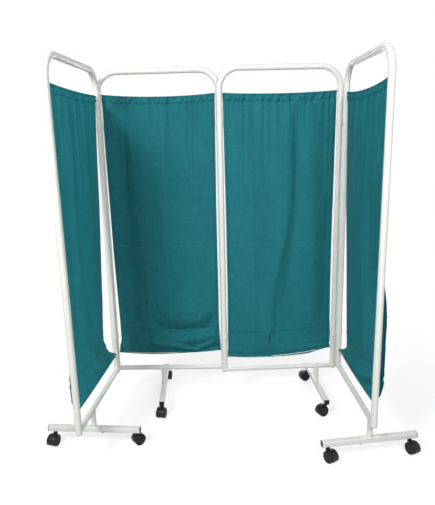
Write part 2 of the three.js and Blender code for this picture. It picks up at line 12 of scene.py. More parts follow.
import bmesh
import bpy
import numpy as np
from mathutils import Matrix, Vector
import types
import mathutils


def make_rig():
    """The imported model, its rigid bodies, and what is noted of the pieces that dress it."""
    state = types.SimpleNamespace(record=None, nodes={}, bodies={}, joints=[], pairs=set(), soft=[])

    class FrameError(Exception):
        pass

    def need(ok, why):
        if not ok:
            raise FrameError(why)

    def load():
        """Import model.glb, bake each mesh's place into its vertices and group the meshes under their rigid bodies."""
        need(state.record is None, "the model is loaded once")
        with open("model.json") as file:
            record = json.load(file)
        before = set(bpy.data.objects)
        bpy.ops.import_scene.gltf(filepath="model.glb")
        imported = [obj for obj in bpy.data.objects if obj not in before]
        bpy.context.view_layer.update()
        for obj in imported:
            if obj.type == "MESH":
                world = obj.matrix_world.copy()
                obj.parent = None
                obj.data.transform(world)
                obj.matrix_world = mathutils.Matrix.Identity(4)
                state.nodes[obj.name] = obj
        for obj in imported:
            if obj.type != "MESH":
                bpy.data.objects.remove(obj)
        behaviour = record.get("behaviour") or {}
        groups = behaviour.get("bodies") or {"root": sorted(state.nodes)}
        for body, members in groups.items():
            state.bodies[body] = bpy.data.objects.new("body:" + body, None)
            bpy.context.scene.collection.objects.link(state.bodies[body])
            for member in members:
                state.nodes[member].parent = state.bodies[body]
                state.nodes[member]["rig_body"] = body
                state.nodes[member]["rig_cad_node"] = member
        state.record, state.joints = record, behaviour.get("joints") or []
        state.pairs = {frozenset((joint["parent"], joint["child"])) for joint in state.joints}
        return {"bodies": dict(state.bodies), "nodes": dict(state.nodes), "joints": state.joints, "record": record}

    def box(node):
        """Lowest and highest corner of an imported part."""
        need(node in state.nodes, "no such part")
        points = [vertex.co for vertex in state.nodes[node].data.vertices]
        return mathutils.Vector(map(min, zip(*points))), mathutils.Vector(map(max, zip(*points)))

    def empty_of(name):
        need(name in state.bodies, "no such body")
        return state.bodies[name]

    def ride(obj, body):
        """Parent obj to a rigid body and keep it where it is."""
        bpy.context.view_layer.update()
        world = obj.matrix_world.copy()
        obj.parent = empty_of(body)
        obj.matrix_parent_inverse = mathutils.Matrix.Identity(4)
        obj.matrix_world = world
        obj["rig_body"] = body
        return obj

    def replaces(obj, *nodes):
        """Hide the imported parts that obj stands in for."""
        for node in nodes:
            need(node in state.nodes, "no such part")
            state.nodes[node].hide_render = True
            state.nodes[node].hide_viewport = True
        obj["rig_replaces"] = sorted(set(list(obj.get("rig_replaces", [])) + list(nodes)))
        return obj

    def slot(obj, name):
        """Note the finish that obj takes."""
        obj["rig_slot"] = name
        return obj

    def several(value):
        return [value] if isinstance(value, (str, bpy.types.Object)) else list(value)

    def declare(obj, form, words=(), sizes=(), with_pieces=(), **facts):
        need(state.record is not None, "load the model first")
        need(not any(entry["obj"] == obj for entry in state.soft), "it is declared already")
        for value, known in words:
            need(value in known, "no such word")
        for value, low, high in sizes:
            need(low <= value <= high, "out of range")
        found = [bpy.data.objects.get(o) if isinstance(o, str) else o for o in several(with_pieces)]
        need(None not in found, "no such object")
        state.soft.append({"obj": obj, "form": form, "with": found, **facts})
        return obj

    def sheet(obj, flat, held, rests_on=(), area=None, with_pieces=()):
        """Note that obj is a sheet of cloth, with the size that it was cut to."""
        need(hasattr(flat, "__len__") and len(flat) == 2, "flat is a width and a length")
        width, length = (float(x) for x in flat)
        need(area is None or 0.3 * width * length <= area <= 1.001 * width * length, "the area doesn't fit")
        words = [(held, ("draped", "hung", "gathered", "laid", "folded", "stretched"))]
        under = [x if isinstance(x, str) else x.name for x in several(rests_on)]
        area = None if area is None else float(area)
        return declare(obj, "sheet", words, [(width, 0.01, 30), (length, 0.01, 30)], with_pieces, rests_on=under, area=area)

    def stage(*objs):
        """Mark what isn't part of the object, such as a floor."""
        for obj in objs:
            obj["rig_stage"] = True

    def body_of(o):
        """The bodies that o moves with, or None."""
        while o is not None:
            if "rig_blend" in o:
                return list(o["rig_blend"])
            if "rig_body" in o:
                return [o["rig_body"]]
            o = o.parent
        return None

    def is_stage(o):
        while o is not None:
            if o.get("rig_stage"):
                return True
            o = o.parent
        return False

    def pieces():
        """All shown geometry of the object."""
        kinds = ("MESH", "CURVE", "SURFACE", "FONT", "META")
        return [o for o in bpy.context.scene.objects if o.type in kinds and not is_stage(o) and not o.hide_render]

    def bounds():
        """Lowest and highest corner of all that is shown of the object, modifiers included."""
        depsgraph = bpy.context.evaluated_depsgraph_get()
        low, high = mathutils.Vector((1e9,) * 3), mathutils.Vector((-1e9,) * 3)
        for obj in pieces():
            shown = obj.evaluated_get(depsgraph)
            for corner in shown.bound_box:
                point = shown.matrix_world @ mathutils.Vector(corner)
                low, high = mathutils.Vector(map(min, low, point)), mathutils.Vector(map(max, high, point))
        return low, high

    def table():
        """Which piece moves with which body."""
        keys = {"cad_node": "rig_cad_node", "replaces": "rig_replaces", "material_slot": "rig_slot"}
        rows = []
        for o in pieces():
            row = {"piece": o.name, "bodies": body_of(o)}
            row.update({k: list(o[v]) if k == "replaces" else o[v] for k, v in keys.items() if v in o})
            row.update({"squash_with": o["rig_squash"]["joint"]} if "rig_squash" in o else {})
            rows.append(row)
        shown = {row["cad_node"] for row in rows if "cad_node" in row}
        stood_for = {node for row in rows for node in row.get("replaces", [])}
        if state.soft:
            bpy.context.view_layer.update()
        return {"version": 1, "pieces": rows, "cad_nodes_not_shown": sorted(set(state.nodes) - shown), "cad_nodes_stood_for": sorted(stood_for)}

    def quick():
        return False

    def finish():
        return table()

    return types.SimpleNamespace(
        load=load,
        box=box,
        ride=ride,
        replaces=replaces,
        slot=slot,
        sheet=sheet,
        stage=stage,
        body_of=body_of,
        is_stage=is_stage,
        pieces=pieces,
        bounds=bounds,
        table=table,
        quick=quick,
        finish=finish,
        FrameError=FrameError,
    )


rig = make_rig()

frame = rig.load()
cad_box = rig.bounds()
joints = {joint["name"]: joint for joint in frame["joints"]}
print("bodies", len(frame["bodies"]), "nodes", len(frame["nodes"]), "joints", len(joints))

# %% [markdown]
# ## Camera
# The camera stands where a person would stand to photograph the screen, a little above chest height
# and looking slightly down. Its focal length is worked out from the picture: a number of pixels on
# the picture's long side, turned into millimetres on a 36 mm sensor.

# %% Camera
PICTURE_LONG_SIDE_PX = 505
FOCAL_LENGTH_PX = 496.1
CAMERA_PLACE = Vector((0.0232, -2.2888, 1.3758))
CAMERA_YAW = math.radians(-1.531)
CAMERA_PITCH = math.radians(-12.871)
CAMERA_ROLL = math.radians(-1.398)

camera_data = bpy.data.cameras.new("camera")
camera_data.sensor_width = 36.0
camera_data.lens = FOCAL_LENGTH_PX * camera_data.sensor_width / PICTURE_LONG_SIDE_PX
camera = bpy.data.objects.new("camera", camera_data)
bpy.context.scene.collection.objects.link(camera)
ahead = Vector((
    math.sin(CAMERA_YAW) * math.cos(CAMERA_PITCH),
    math.cos(CAMERA_YAW) * math.cos(CAMERA_PITCH),
    math.sin(CAMERA_PITCH),
))
level_right = Vector((math.cos(CAMERA_YAW), -math.sin(CAMERA_YAW), 0.0))
level_up = level_right.cross(ahead)
right = level_right * math.cos(CAMERA_ROLL) + level_up * math.sin(CAMERA_ROLL)
up = right.cross(ahead)
camera.matrix_world = Matrix.Translation(CAMERA_PLACE) @ Matrix((right, up, -ahead)).transposed().to_4x4()
bpy.context.scene.camera = camera
print("lens", round(camera_data.lens, 2), "mm")

# %% [markdown]
# ## Small helpers for node trees
# Shader maths reads best as ordinary Python. `Value` wraps one output socket, so that an expression
# such as `mask * 0.5 + 0.2` adds the Math nodes by itself. Every other node comes from `add_node`, which
# sets the node's settings first and then gives each of its sockets a value or a link.

# %% Node helpers
def add_node(tree, kind, settings=None, values=None):
    """One node: its settings first, then a value or a link for each of its sockets."""
    node = tree.nodes.new(kind)
    for key, setting in (settings or {}).items():
        setattr(node, key, setting)
    for key, value in (values or {}).items():
        if isinstance(value, Value):
            tree.links.new(value.socket, node.inputs[key])
        elif isinstance(value, bpy.types.NodeSocket):
            tree.links.new(value, node.inputs[key])
        else:
            node.inputs[key].default_value = value
    return node


class Value:
    """A number that changes over a surface: one output socket, with the sums that are used on it."""

    def __init__(self, tree, socket):
        self.tree, self.socket = tree, socket

    def math(self, operation, *others):
        """The result of a Math node whose first term is this value."""
        values = dict(enumerate((self, *others)))
        node = add_node(self.tree, "ShaderNodeMath", {"operation": operation}, values)
        return Value(self.tree, node.outputs[0])

    def __add__(self, other):
        return self.math("ADD", other)

    def __sub__(self, other):
        return self.math("SUBTRACT", other)

    def __rsub__(self, other):
        return self.math("MULTIPLY", -1.0) + other

    def __mul__(self, other):
        return self.math("MULTIPLY", other)

    __radd__, __rmul__ = __add__, __mul__

    def between(self, low, high):
        """0 below low, 1 above high and a smooth step between them. High may be under low."""
        node = add_node(
            self.tree,
            "ShaderNodeMapRange",
            {"interpolation_type": "SMOOTHSTEP"},
            {"Value": self, "From Min": low, "From Max": high},
        )
        return Value(self.tree, node.outputs["Result"])


class Finish:
    """A finish: one Principled shader, and the patterns that drive its colour, gloss and bump."""

    def __init__(self, name, colour, roughness, **constants):
        self.material = bpy.data.materials.new(name)
        self.material.use_nodes = True
        self.tree = self.material.node_tree
        self.tree.nodes.clear()
        values = {"Base Color": (*colour, 1.0), "Roughness": roughness}
        values.update({key.replace("_", " "): value for key, value in constants.items()})
        self.shader = add_node(self.tree, "ShaderNodeBsdfPrincipled", None, values)
        self.output = add_node(
            self.tree, "ShaderNodeOutputMaterial", None, {"Surface": self.shader.outputs["BSDF"]}
        )
        self.objects = add_node(self.tree, "ShaderNodeTexCoord").outputs["Object"]

    def place(self, stretch=(1, 1, 1), uv=None):
        """Coordinates for a pattern: the object's own in metres, or a UV map, stretched."""
        source = self.objects
        if uv:
            source = add_node(self.tree, "ShaderNodeUVMap", {"uv_map": uv}).outputs["UV"]
        values = {"Vector": source, "Scale": stretch}
        return add_node(self.tree, "ShaderNodeMapping", None, values).outputs["Vector"]

    def axis(self, letter, source=None):
        """One coordinate as a value."""
        values = {"Vector": source or self.objects}
        node = add_node(self.tree, "ShaderNodeSeparateXYZ", None, values)
        return Value(self.tree, node.outputs[letter])

    def noise(self, scale, detail=2.0, roughness=0.5, where=None):
        """A soft random pattern from 0 to 1, with about `scale` blotches in a metre."""
        values = {"Vector": where or self.objects, "Scale": scale}
        values.update({"Detail": detail, "Roughness": roughness})
        node = add_node(self.tree, "ShaderNodeTexNoise", None, values)
        return Value(self.tree, node.outputs["Fac"])

    def waves(self, per_metre, direction, distortion, where):
        """Parallel waves, as threads and coils have."""
        settings = {"wave_type": "BANDS", "bands_direction": direction, "wave_profile": "SIN"}
        scale = per_metre * 2 * math.pi / 20.0
        values = {"Vector": where, "Scale": scale, "Distortion": distortion}
        node = add_node(self.tree, "ShaderNodeTexWave", settings, values)
        return Value(self.tree, node.outputs["Fac"])

    def blend(self, share, first, second):
        """A colour between two: each a colour or the socket of one."""
        first, second = (
            (*colour, 1.0) if isinstance(colour, tuple) else colour for colour in (first, second)
        )
        # These are the places of the factor and of the two colours among a Mix node's sockets
        values = {0: share, 6: first, 7: second}
        return add_node(self.tree, "ShaderNodeMix", {"data_type": "RGBA"}, values).outputs[2]

    def bump(self, height, distance, strength=1.0):
        """Lowers and raises the surface by a pattern, by up to `distance` metres."""
        values = {"Height": height, "Distance": distance, "Strength": strength}
        return add_node(self.tree, "ShaderNodeBump", None, values).outputs["Normal"]

    def set(self, **links):
        """Feeds sockets of the shader from patterns."""
        for key, value in links.items():
            socket = self.shader.inputs[key.replace("_", " ")]
            self.tree.links.new(value.socket if isinstance(value, Value) else value, socket)

# %% [markdown]
# ## Finishes
# Every surface is drawn by nodes, with no images. Each finish starts from one Principled shader: a
# colour and a gloss, then patterns that change them a little, as wear, dust and weaving do. On the
# cloth some of these patterns are painted light and shade.

# %% Painted steel, plastics and wire
powder_coat = Finish("powder coat", (0.78, 0.82, 0.76), 0.42, Specular_IOR_Level=0.35)
specks = powder_coat.noise(700.0, 3.0)
patches = powder_coat.noise(9.0, 4.0, 0.6)
handling = powder_coat.noise(60.0, 5.0, 0.65).between(0.60, 0.78)
near_floor = powder_coat.axis("Z").between(0.26, 0.06)
grime = powder_coat.noise(150.0, 4.0, 0.6).between(0.46, 0.75) * (near_floor * 0.16 + 0.04)
tint = powder_coat.blend(patches.between(0.3, 0.7), (0.77, 0.79, 0.73), (0.82, 0.83, 0.78))
tint = powder_coat.blend(grime, tint, (0.42, 0.42, 0.37))
powder_coat.set(
    Base_Color=tint,
    Roughness=specks * 0.08 + handling * 0.16 + 0.36,
    Normal=powder_coat.bump(specks, 0.00012),
)

black_plastic = Finish("black plastic", (0.012, 0.012, 0.013), 0.45, Specular_IOR_Level=0.25)
grain = black_plastic.noise(1800.0, 2.0)
black_plastic.set(
    Base_Color=black_plastic.blend(
        black_plastic.noise(90.0, 4.0, 0.6).between(0.5, 0.8) * 0.3,
        (0.005, 0.005, 0.006),
        (0.045, 0.044, 0.040),
    ),
    Roughness=grain * 0.18 + 0.36,
    Normal=black_plastic.bump(grain, 0.00008),
)

hood_plastic = Finish("hood plastic", (0.016, 0.017, 0.018), 0.4, Specular_IOR_Level=0.3)
grain = hood_plastic.noise(1500.0, 2.0)
dust = hood_plastic.noise(110.0, 4.0, 0.6).between(0.48, 0.8)
low_down = hood_plastic.axis("Z").between(0.05, 0.0)
hood_plastic.set(
    Base_Color=hood_plastic.blend(
        dust * (low_down * 0.3 + 0.08), (0.006, 0.006, 0.007), (0.09, 0.086, 0.080)
    ),
    Roughness=grain * 0.15 + dust * 0.12 + 0.32,
    Normal=hood_plastic.bump(grain, 0.0001),
)

wheel_plastic = Finish("wheel plastic", (0.014, 0.014, 0.015), 0.5, Specular_IOR_Level=0.25)
grain = wheel_plastic.noise(1300.0, 3.0)
dust = wheel_plastic.noise(160.0, 5.0, 0.65).between(0.45, 0.75)
wheel_plastic.set(
    Base_Color=wheel_plastic.blend(dust * 0.2, (0.005, 0.005, 0.006), (0.08, 0.077, 0.070)),
    Roughness=grain * 0.16 + dust * 0.2 + 0.38,
    Normal=wheel_plastic.bump(grain, 0.0001),
)

wire_steel = Finish("wire steel", (0.56, 0.57, 0.57), 0.34, Metallic=0.95)
drawn = wire_steel.noise(500.0, 3.0, where=wire_steel.place(stretch=(0.05, 0.05, 1.0)))
wire_steel.set(
    Roughness=drawn * 0.25 + 0.24,
    Normal=wire_steel.bump(drawn, 0.0001),
)
hard_finishes = (powder_coat, black_plastic, hood_plastic, wheel_plastic, wire_steel)
print("finishes:", ", ".join(finish.material.name for finish in hard_finishes))

# %% [markdown]
# ### The teal cloth
# A plain weave is two sets of threads, which pass over each other. The cloth's UV map is in metres,
# so a number of threads in a metre is a real size. Thicker threads here and there make the pale
# streaks that run across such a cloth. The creases are where it lay folded before it was hung, and
# their ridges are painted lighter as painted highlight. Along each row of stitches the cloth is painted
# darker as painted shade, and each curtain's teal is made brighter as painted light.

# %% Teal cloth
THREADS_PER_METRE = 1500.0
THREAD_WANDER = 0.6
CLOTH_UV = "flat"
# How far from a row of stitches the cloth is drawn in, and how far the painted shade along it reaches
GROOVE_AND_SHADE_REACH = 0.0035
# The colours of a cloth at a painted light of 1: between its thick threads, on them, and where it is dull
DARK_TEAL = (0.008, 0.115, 0.135)
PALE_TEAL = (0.024, 0.205, 0.235)
DULL_TEAL = (0.008, 0.100, 0.120)
# Painted highlight on the ridges of the creases
CREASE_HIGHLIGHT_TEAL = (0.10, 0.36, 0.39)
# Painted shade along each row of stitches
SEAM_SHADE_TEAL = (0.005, 0.055, 0.065)


def cloth_finish(name, painted_light, creases, seams):
    """A cloth's finish, with its creases, whose ridges are painted lighter as painted highlight, and with the groove
    that each row of stitches draws, darkened by painted shade.

    A seam is the axis that it crosses and its place.
    """
    # Painted light: the curtain's three teals are made brighter by its own factor
    dark, pale, dull = (
        tuple(painted_light * part for part in shade) for shade in (DARK_TEAL, PALE_TEAL, DULL_TEAL)
    )
    cloth = Finish(name, (0.03, 0.22, 0.25), 0.9, Specular_IOR_Level=0.12)
    flat = cloth.place(uv=CLOTH_UV)

    def pattern(across, up, detail=2.0, roughness=0.6):
        """A random pattern on the flat sheet, with so many blotches in a metre across it and up it."""
        return cloth.noise(1.0, detail, roughness, cloth.place((across, up, 1.0), CLOTH_UV))

    def line(axis, place, reach):
        """1 on a straight line over the flat sheet, fading to 0 at its reach."""
        return (cloth.axis(axis, flat) - place).math("ABSOLUTE").between(reach, 0.0)

    warp = cloth.waves(THREADS_PER_METRE, "X", THREAD_WANDER, flat)
    weft = cloth.waves(THREADS_PER_METRE, "Y", THREAD_WANDER, flat)
    slubs, upright_slubs = pattern(26.0, 520.0), pattern(620.0, 22.0)
    streaks = slubs.between(0.25, 0.8) * 0.6 + upright_slubs.between(0.3, 0.8) * 0.4
    blotches = pattern(7.0, 5.0, 4.0).between(0.35, 0.7)
    breaks = pattern(14.0, 14.0, 3.0).between(0.30, 0.62)
    rumples = pattern(34.0, 20.0, 3.0, 0.55)
    folded = sum(line(axis, place, reach) * height for axis, place, reach, height in creases) * breaks
    # The groove at each row of stitches: a dip in the bump, and painted shade in the colour
    groove_and_shade = sum(line(axis, place, GROOVE_AND_SHADE_REACH) for axis, place in seams)
    height = (warp + weft) * 0.10 + slubs * 0.16 + upright_slubs * 0.10 + folded + rumples * 0.9
    colour = cloth.blend(blotches * 0.28, cloth.blend(streaks, dark, pale), dull)
    # Painted highlight: the crease ridges are painted a lighter teal
    colour = cloth.blend(folded * 0.22, colour, CREASE_HIGHLIGHT_TEAL)
    cloth.set(
        # Painted shade darkens the cloth along each row of stitches
        Base_Color=cloth.blend(groove_and_shade * 0.55, colour, SEAM_SHADE_TEAL),
        Roughness=slubs * 0.1 + 0.8,
        Normal=cloth.bump(height - groove_and_shade, 0.0011, 0.8),
    )
    return cloth


# How much brighter each curtain's teal is painted, as painted light for the light that falls on it; the first curtain
# most, as light shines through its cloth
PAINTED_LIGHT_SCALE = {1: 1.9, 2: 1.05, 3: 1.12, 4: 1.3}
# The creases of each curtain, which was folded in its own way: the axis that a crease crosses, its
# place and its reach in metres, and its height
STORAGE_CREASES = {
    1: [("Y", 0.62, 0.004, 0.5), ("X", 0.30, 0.004, 0.4)],
    2: [
        ("Y", 0.60, 0.004, 1.1), ("X", 0.29, 0.004, 0.8),
        ("Y", 0.92, 0.003, 0.5), ("Y", 0.43, 0.003, 0.4),
    ],
    3: [("Y", 0.61, 0.004, 1.1), ("X", 0.135, 0.004, 0.6), ("X", 0.27, 0.004, 0.5)],
    4: [("Y", 0.61, 0.004, 0.8), ("X", 0.28, 0.004, 0.4)],
}
thread = Finish("thread", (0.035, 0.22, 0.245), 0.7)
thread.set(
    Base_Color=thread.blend(thread.noise(900.0), (0.02, 0.15, 0.17), (0.05, 0.27, 0.29)),
    Roughness=thread.noise(600.0) * 0.2 + 0.6,
)
print("cloths that were folded", len(STORAGE_CREASES))

# %% [markdown]
# ## Where each panel stands
# Everything on a panel is drawn in that panel's own coordinates: s runs from its hinge post to its
# other post, n is square to the panel and z is up. The posts are found in the frame itself, so the
# dressing keeps to the frame if its sizes change.

# %% Panel coordinates
TUBE_RADIUS = 0.0143
RAIL_RADIUS = 0.0127
# The frame draws a tube with twelve flats, so its top lies this share of the radius over its middle
FLAT_SHARE = math.cos(math.pi / 12)
CASTER_SIDES = {1: ("left", "right"), 2: ("front", "back"), 3: ("front", "back"), 4: ("left", "right")}
FIRST_CLIP = {1: "clip_12_upper", 2: "clip_12_upper", 3: "clip_23_upper", 4: "clip_34_upper"}


def node_points(name):
    """The corners of a node of the frame, each once, as rows of x, y and z."""
    mesh = frame["nodes"][name].data
    points = np.empty(len(mesh.vertices) * 3)
    mesh.vertices.foreach_get("co", points)
    return np.unique(points.reshape(-1, 3).round(5), axis=0)


def stand(origin, along, height=0.0):
    """The matrix that stands a drawing on a point of the plan, with its X along a direction."""
    x, y = along.normalized()
    return Matrix((
        (x, -y, 0.0, origin[0]),
        (y, x, 0.0, origin[1]),
        (0.0, 0.0, 1.0, height),
        (0.0, 0.0, 0.0, 1.0),
    ))


class Panel:
    """One panel's place, and the sizes that its pieces share."""

    def __init__(self, number):
        self.number, self.body = number, f"panel_{number}"
        points = node_points(f"frame_{number}")
        ends = points[points[:, 2] < points[:, 2].min() + 0.001, :2]
        centred = ends - ends.mean(axis=0)
        is_first = centred @ np.linalg.svd(centred)[2][0] < 0
        clip = sum(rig.box(FIRST_CLIP[number]), Vector()).xy / 2
        posts = [Vector(ends[part].mean(axis=0)) for part in (is_first, ~is_first)]
        self.hinge, self.far = sorted(posts, key=lambda post: (post - clip).length)
        self.width = (self.far - self.hinge).length
        self.matrix = stand(self.hinge, self.far - self.hinge)
        self.post_end, frame_top = (corner.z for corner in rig.box(f"frame_{number}"))
        self.tube_line = frame_top - TUBE_RADIUS * FLAT_SHARE
        self.bar_bottom, rail_top = (corner.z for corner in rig.box(f"base_{number}"))
        self.rail_line = rail_top - RAIL_RADIUS * FLAT_SHARE
        swivels = [joints[f"caster_{number}_{side}_swivel"]["pos_m"] for side in CASTER_SIDES[number]]
        first, last = (Vector(place[:2]) for place in swivels)
        self.foot = (first + last) / 2
        self.bar = (last - first).normalized()
        self.foot_s = (self.matrix.inverted() @ self.foot.to_3d()).x
        # In the foot's drawing Y runs along the bar, so X is a quarter turn back from it
        self.foot_matrix = stand(self.foot, Vector((self.bar.y, -self.bar.x)))

    def wire(self, level):
        """The places along a wire of this panel: its s and its height at each."""
        points = node_points(f"{level}_wire_{self.number}")
        to_panel = self.matrix.inverted()
        local = points @ np.array(to_panel.to_3x3()).T + np.array(to_panel.translation)
        stations = local[:, 0].round(3)
        places = np.unique(stations)
        return places, np.array([local[stations == place, 2].mean() for place in places])


panels = {number: Panel(number) for number in FIRST_CLIP}
for panel in panels.values():
    print(panel.body, f"width {panel.width:.4f}, foot at {panel.foot_s:.4f}, rail {panel.rail_line:.4f}")

# %% [markdown]
# ## Drawing solids
# A few plain tools make nearly all the hard pieces: a skin over a row of rings, a turned shape, and
# a mesh that has been through modifiers such as Bevel or Boolean.

# %% Mesh helpers
def plain_mesh(name, points, faces, crease_angle=35.0):
    """A smooth mesh whose edges stay crisp where its faces meet at more than an angle."""
    mesh = bpy.data.meshes.new(name)
    mesh.from_pydata([tuple(point) for point in points], [], faces)
    build = bmesh.new()
    build.from_mesh(mesh)
    bmesh.ops.remove_doubles(build, verts=build.verts, dist=1e-7)
    bmesh.ops.recalc_face_normals(build, faces=build.faces)
    build.to_mesh(mesh)
    build.free()
    mesh.shade_smooth()
    mesh.set_sharp_from_angle(angle=math.radians(crease_angle))
    return mesh


def skin(name, rings, crease_angle=35.0):
    """A closed solid drawn over rings of points, with a flat face on its first and its last ring."""
    count = len(rings[0])
    faces = []
    for station in range(len(rings) - 1):
        start = station * count
        for i in range(count):
            j = (i + 1) % count
            faces.append((start + i, start + j, start + j + count, start + i + count))
    last = (len(rings) - 1) * count
    faces.append(tuple(reversed(range(count))))
    faces.append(tuple(range(last, last + count)))
    return plain_mesh(name, [point for ring in rings for point in ring], faces, crease_angle)


def prism(name, outline, bottom, top, crease_angle=35.0):
    """A closed solid with one outline all the way up."""
    return skin(name, [[(x, y, z) for x, y in outline] for z in (bottom, top)], crease_angle)


def circle(radius, steps=32):
    return [
        (radius * math.cos(2 * math.pi * i / steps), radius * math.sin(2 * math.pi * i / steps))
        for i in range(steps)
    ]


def turned(name, profile, steps=32, crease_angle=35.0):
    """A shape turned about Z, from a profile of radii and heights."""
    rings = [[(x, y, height) for x, y in circle(radius, steps)] for radius, height in profile]
    return skin(name, rings, crease_angle)


def rounded_square(side, radius, steps=5):
    """The outline of a square with rounded corners."""
    middle = side / 2 - radius
    outline = []
    for corner in range(4):
        turn = corner * math.pi / 2
        centre = Matrix.Rotation(turn, 2) @ Vector((middle, middle))
        for i in range(steps + 1):
            angle = turn + i * math.pi / 2 / steps
            outline.append((centre.x + radius * math.cos(angle), centre.y + radius * math.sin(angle)))
    return outline


def worked(mesh, kind, settings):
    """The mesh as a modifier leaves it."""
    holder = bpy.data.objects.new(mesh.name, mesh)
    bpy.context.scene.collection.objects.link(holder)
    modifier = holder.modifiers.new(kind, kind)
    for key, value in settings.items():
        setattr(modifier, key, value)
    graph = bpy.context.evaluated_depsgraph_get()
    result = bpy.data.meshes.new_from_object(holder.evaluated_get(graph), depsgraph=graph)
    bpy.data.objects.remove(holder)
    return result


def combined(mesh, others):
    """A mesh with others added to it or cut from it, in order: each with UNION or DIFFERENCE."""
    for operation, other in others:
        tool = bpy.data.objects.new("tool", other)
        bpy.context.scene.collection.objects.link(tool)
        mesh = worked(mesh, "BOOLEAN", {"operation": operation, "object": tool, "solver": "EXACT"})
        bpy.data.objects.remove(tool)
    return mesh


def eased(mesh, width, segments, from_angle, crisp_angle):
    """A smooth mesh whose edges are rounded over where its faces meet at more than an angle."""
    settings = {"width": width, "segments": segments, "limit_method": "ANGLE"}
    mesh = worked(mesh, "BEVEL", {**settings, "angle_limit": math.radians(from_angle)})
    mesh.shade_smooth()
    mesh.set_sharp_from_angle(angle=math.radians(crisp_angle))
    return mesh


def gathered(name, parts):
    """One mesh made of several, each moved by its own matrix."""
    build = bmesh.new()
    for mesh, matrix in parts:
        moved = mesh.copy()
        moved.transform(matrix)
        build.from_mesh(moved)
        bpy.data.meshes.remove(moved)
    mesh = bpy.data.meshes.new(name)
    build.to_mesh(mesh)
    build.free()
    return mesh


def add_piece(name, mesh, finish, body, slot, replaces=()):
    """Puts a mesh into the scene as a piece of the object, which moves with one of its bodies."""
    mesh.materials.clear()
    mesh.materials.append(finish.material)
    piece = bpy.data.objects.new(name, mesh)
    bpy.context.scene.collection.objects.link(piece)
    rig.ride(piece, body)
    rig.slot(piece, slot)
    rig.replaces(piece, *replaces)
    return piece


def move(x=0.0, y=0.0, z=0.0):
    return Matrix.Translation((x, y, z))


def facing(sign):
    """A half turn about Z where the sign is negative, so that a shape looks the other way."""
    return Matrix.Rotation(0.0 if sign > 0 else math.pi, 4, "Z")


# Lays a shape that stands on Z down along another axis
ALONG_X = Matrix.Rotation(math.pi / 2, 4, "Y")
ALONG_Y = Matrix.Rotation(-math.pi / 2, 4, "X")

# %% [markdown]
# ## Trees that grow geometry
# Two Geometry Nodes trees do the repeated work. One bends a tube through four corners. The other
# strings small beads along a line: as weld ripples they overlap, and as stitches they lie apart.
# A tree's result is turned into a plain mesh at once, so that nothing is left to work out later.

# %% Geometry trees
BEND_STEPS = 14
TUBE_SIDES = 40
BEAD_SEED = 7


def geometry_tree(name, sockets):
    """A new tree with these inputs. Gives the tree, its input node and its output node."""
    tree = bpy.data.node_groups.new(name, "GeometryNodeTree")
    tree.interface.new_socket("Geometry", in_out="INPUT", socket_type="NodeSocketGeometry")
    for label, kind in sockets.items():
        tree.interface.new_socket(label, in_out="INPUT", socket_type=kind)
    tree.interface.new_socket("Geometry", in_out="OUTPUT", socket_type="NodeSocketGeometry")
    return tree, tree.nodes.new("NodeGroupInput").outputs, tree.nodes.new("NodeGroupOutput").inputs


def finish_tree(tree, geometry, material, target):
    """The end of every tree: real geometry, shaded smooth, with its material."""
    real = add_node(tree, "GeometryNodeRealizeInstances", None, {"Geometry": geometry}).outputs[0]
    smooth = add_node(tree, "GeometryNodeSetShadeSmooth", None, {"Geometry": real}).outputs[0]
    coloured = add_node(
        tree, "GeometryNodeSetMaterial", None, {"Geometry": smooth, "Material": material}
    ).outputs[0]
    tree.links.new(coloured, target["Geometry"])


def grown(name, tree, values, source=None):
    """The plain mesh that a tree makes from these values."""
    holder = bpy.data.objects.new(name, source or bpy.data.meshes.new(name))
    bpy.context.scene.collection.objects.link(holder)
    modifier = holder.modifiers.new("grow", "NODES")
    modifier.node_group = tree
    for item in tree.interface.items_tree:
        if item.in_out == "INPUT" and item.name in values:
            modifier[item.identifier] = values[item.name]
    holder.update_tag()
    graph = bpy.context.evaluated_depsgraph_get()
    mesh = bpy.data.meshes.new_from_object(holder.evaluated_get(graph), depsgraph=graph)
    mesh.name = name
    bpy.data.objects.remove(holder)
    return mesh


def bent_tube_tree():
    """An upside-down U of round tube: up from the origin, across and down again."""
    numbers = dict.fromkeys(("Width", "Bottom", "Top", "Bend Radius", "Tube Radius"), "NodeSocketFloat")
    tree, given, target = geometry_tree("bent tube", {**numbers, "Material": "NodeSocketMaterial"})
    ends = [(None, "Bottom"), (None, "Top"), ("Width", "Top"), ("Width", "Bottom")]
    corners = {}
    for i, (across, height) in enumerate(ends):
        values = {"Z": given[height]}
        if across:
            values["X"] = given[across]
        corners[f"Point {i + 1}"] = add_node(tree, "ShaderNodeCombineXYZ", None, values).outputs[0]
    loop = add_node(tree, "GeometryNodeCurvePrimitiveQuadrilateral", {"mode": "POINTS"}, corners)
    values = {"Geometry": loop.outputs[0], "Cyclic": False}
    line = add_node(tree, "GeometryNodeSetSplineCyclic", None, values)
    values = {"Curve": line.outputs[0], "Count": BEND_STEPS, "Radius": given["Bend Radius"]}
    bent = add_node(tree, "GeometryNodeFilletCurve", {"mode": "POLY"}, values)
    values = {"Resolution": TUBE_SIDES, "Radius": given["Tube Radius"]}
    ring = add_node(tree, "GeometryNodeCurvePrimitiveCircle", None, values)
    values = {"Curve": bent.outputs[0], "Profile Curve": ring.outputs[0]}
    tube = add_node(tree, "GeometryNodeCurveToMesh", None, values)
    finish_tree(tree, tube.outputs[0], given["Material"], target)
    return tree


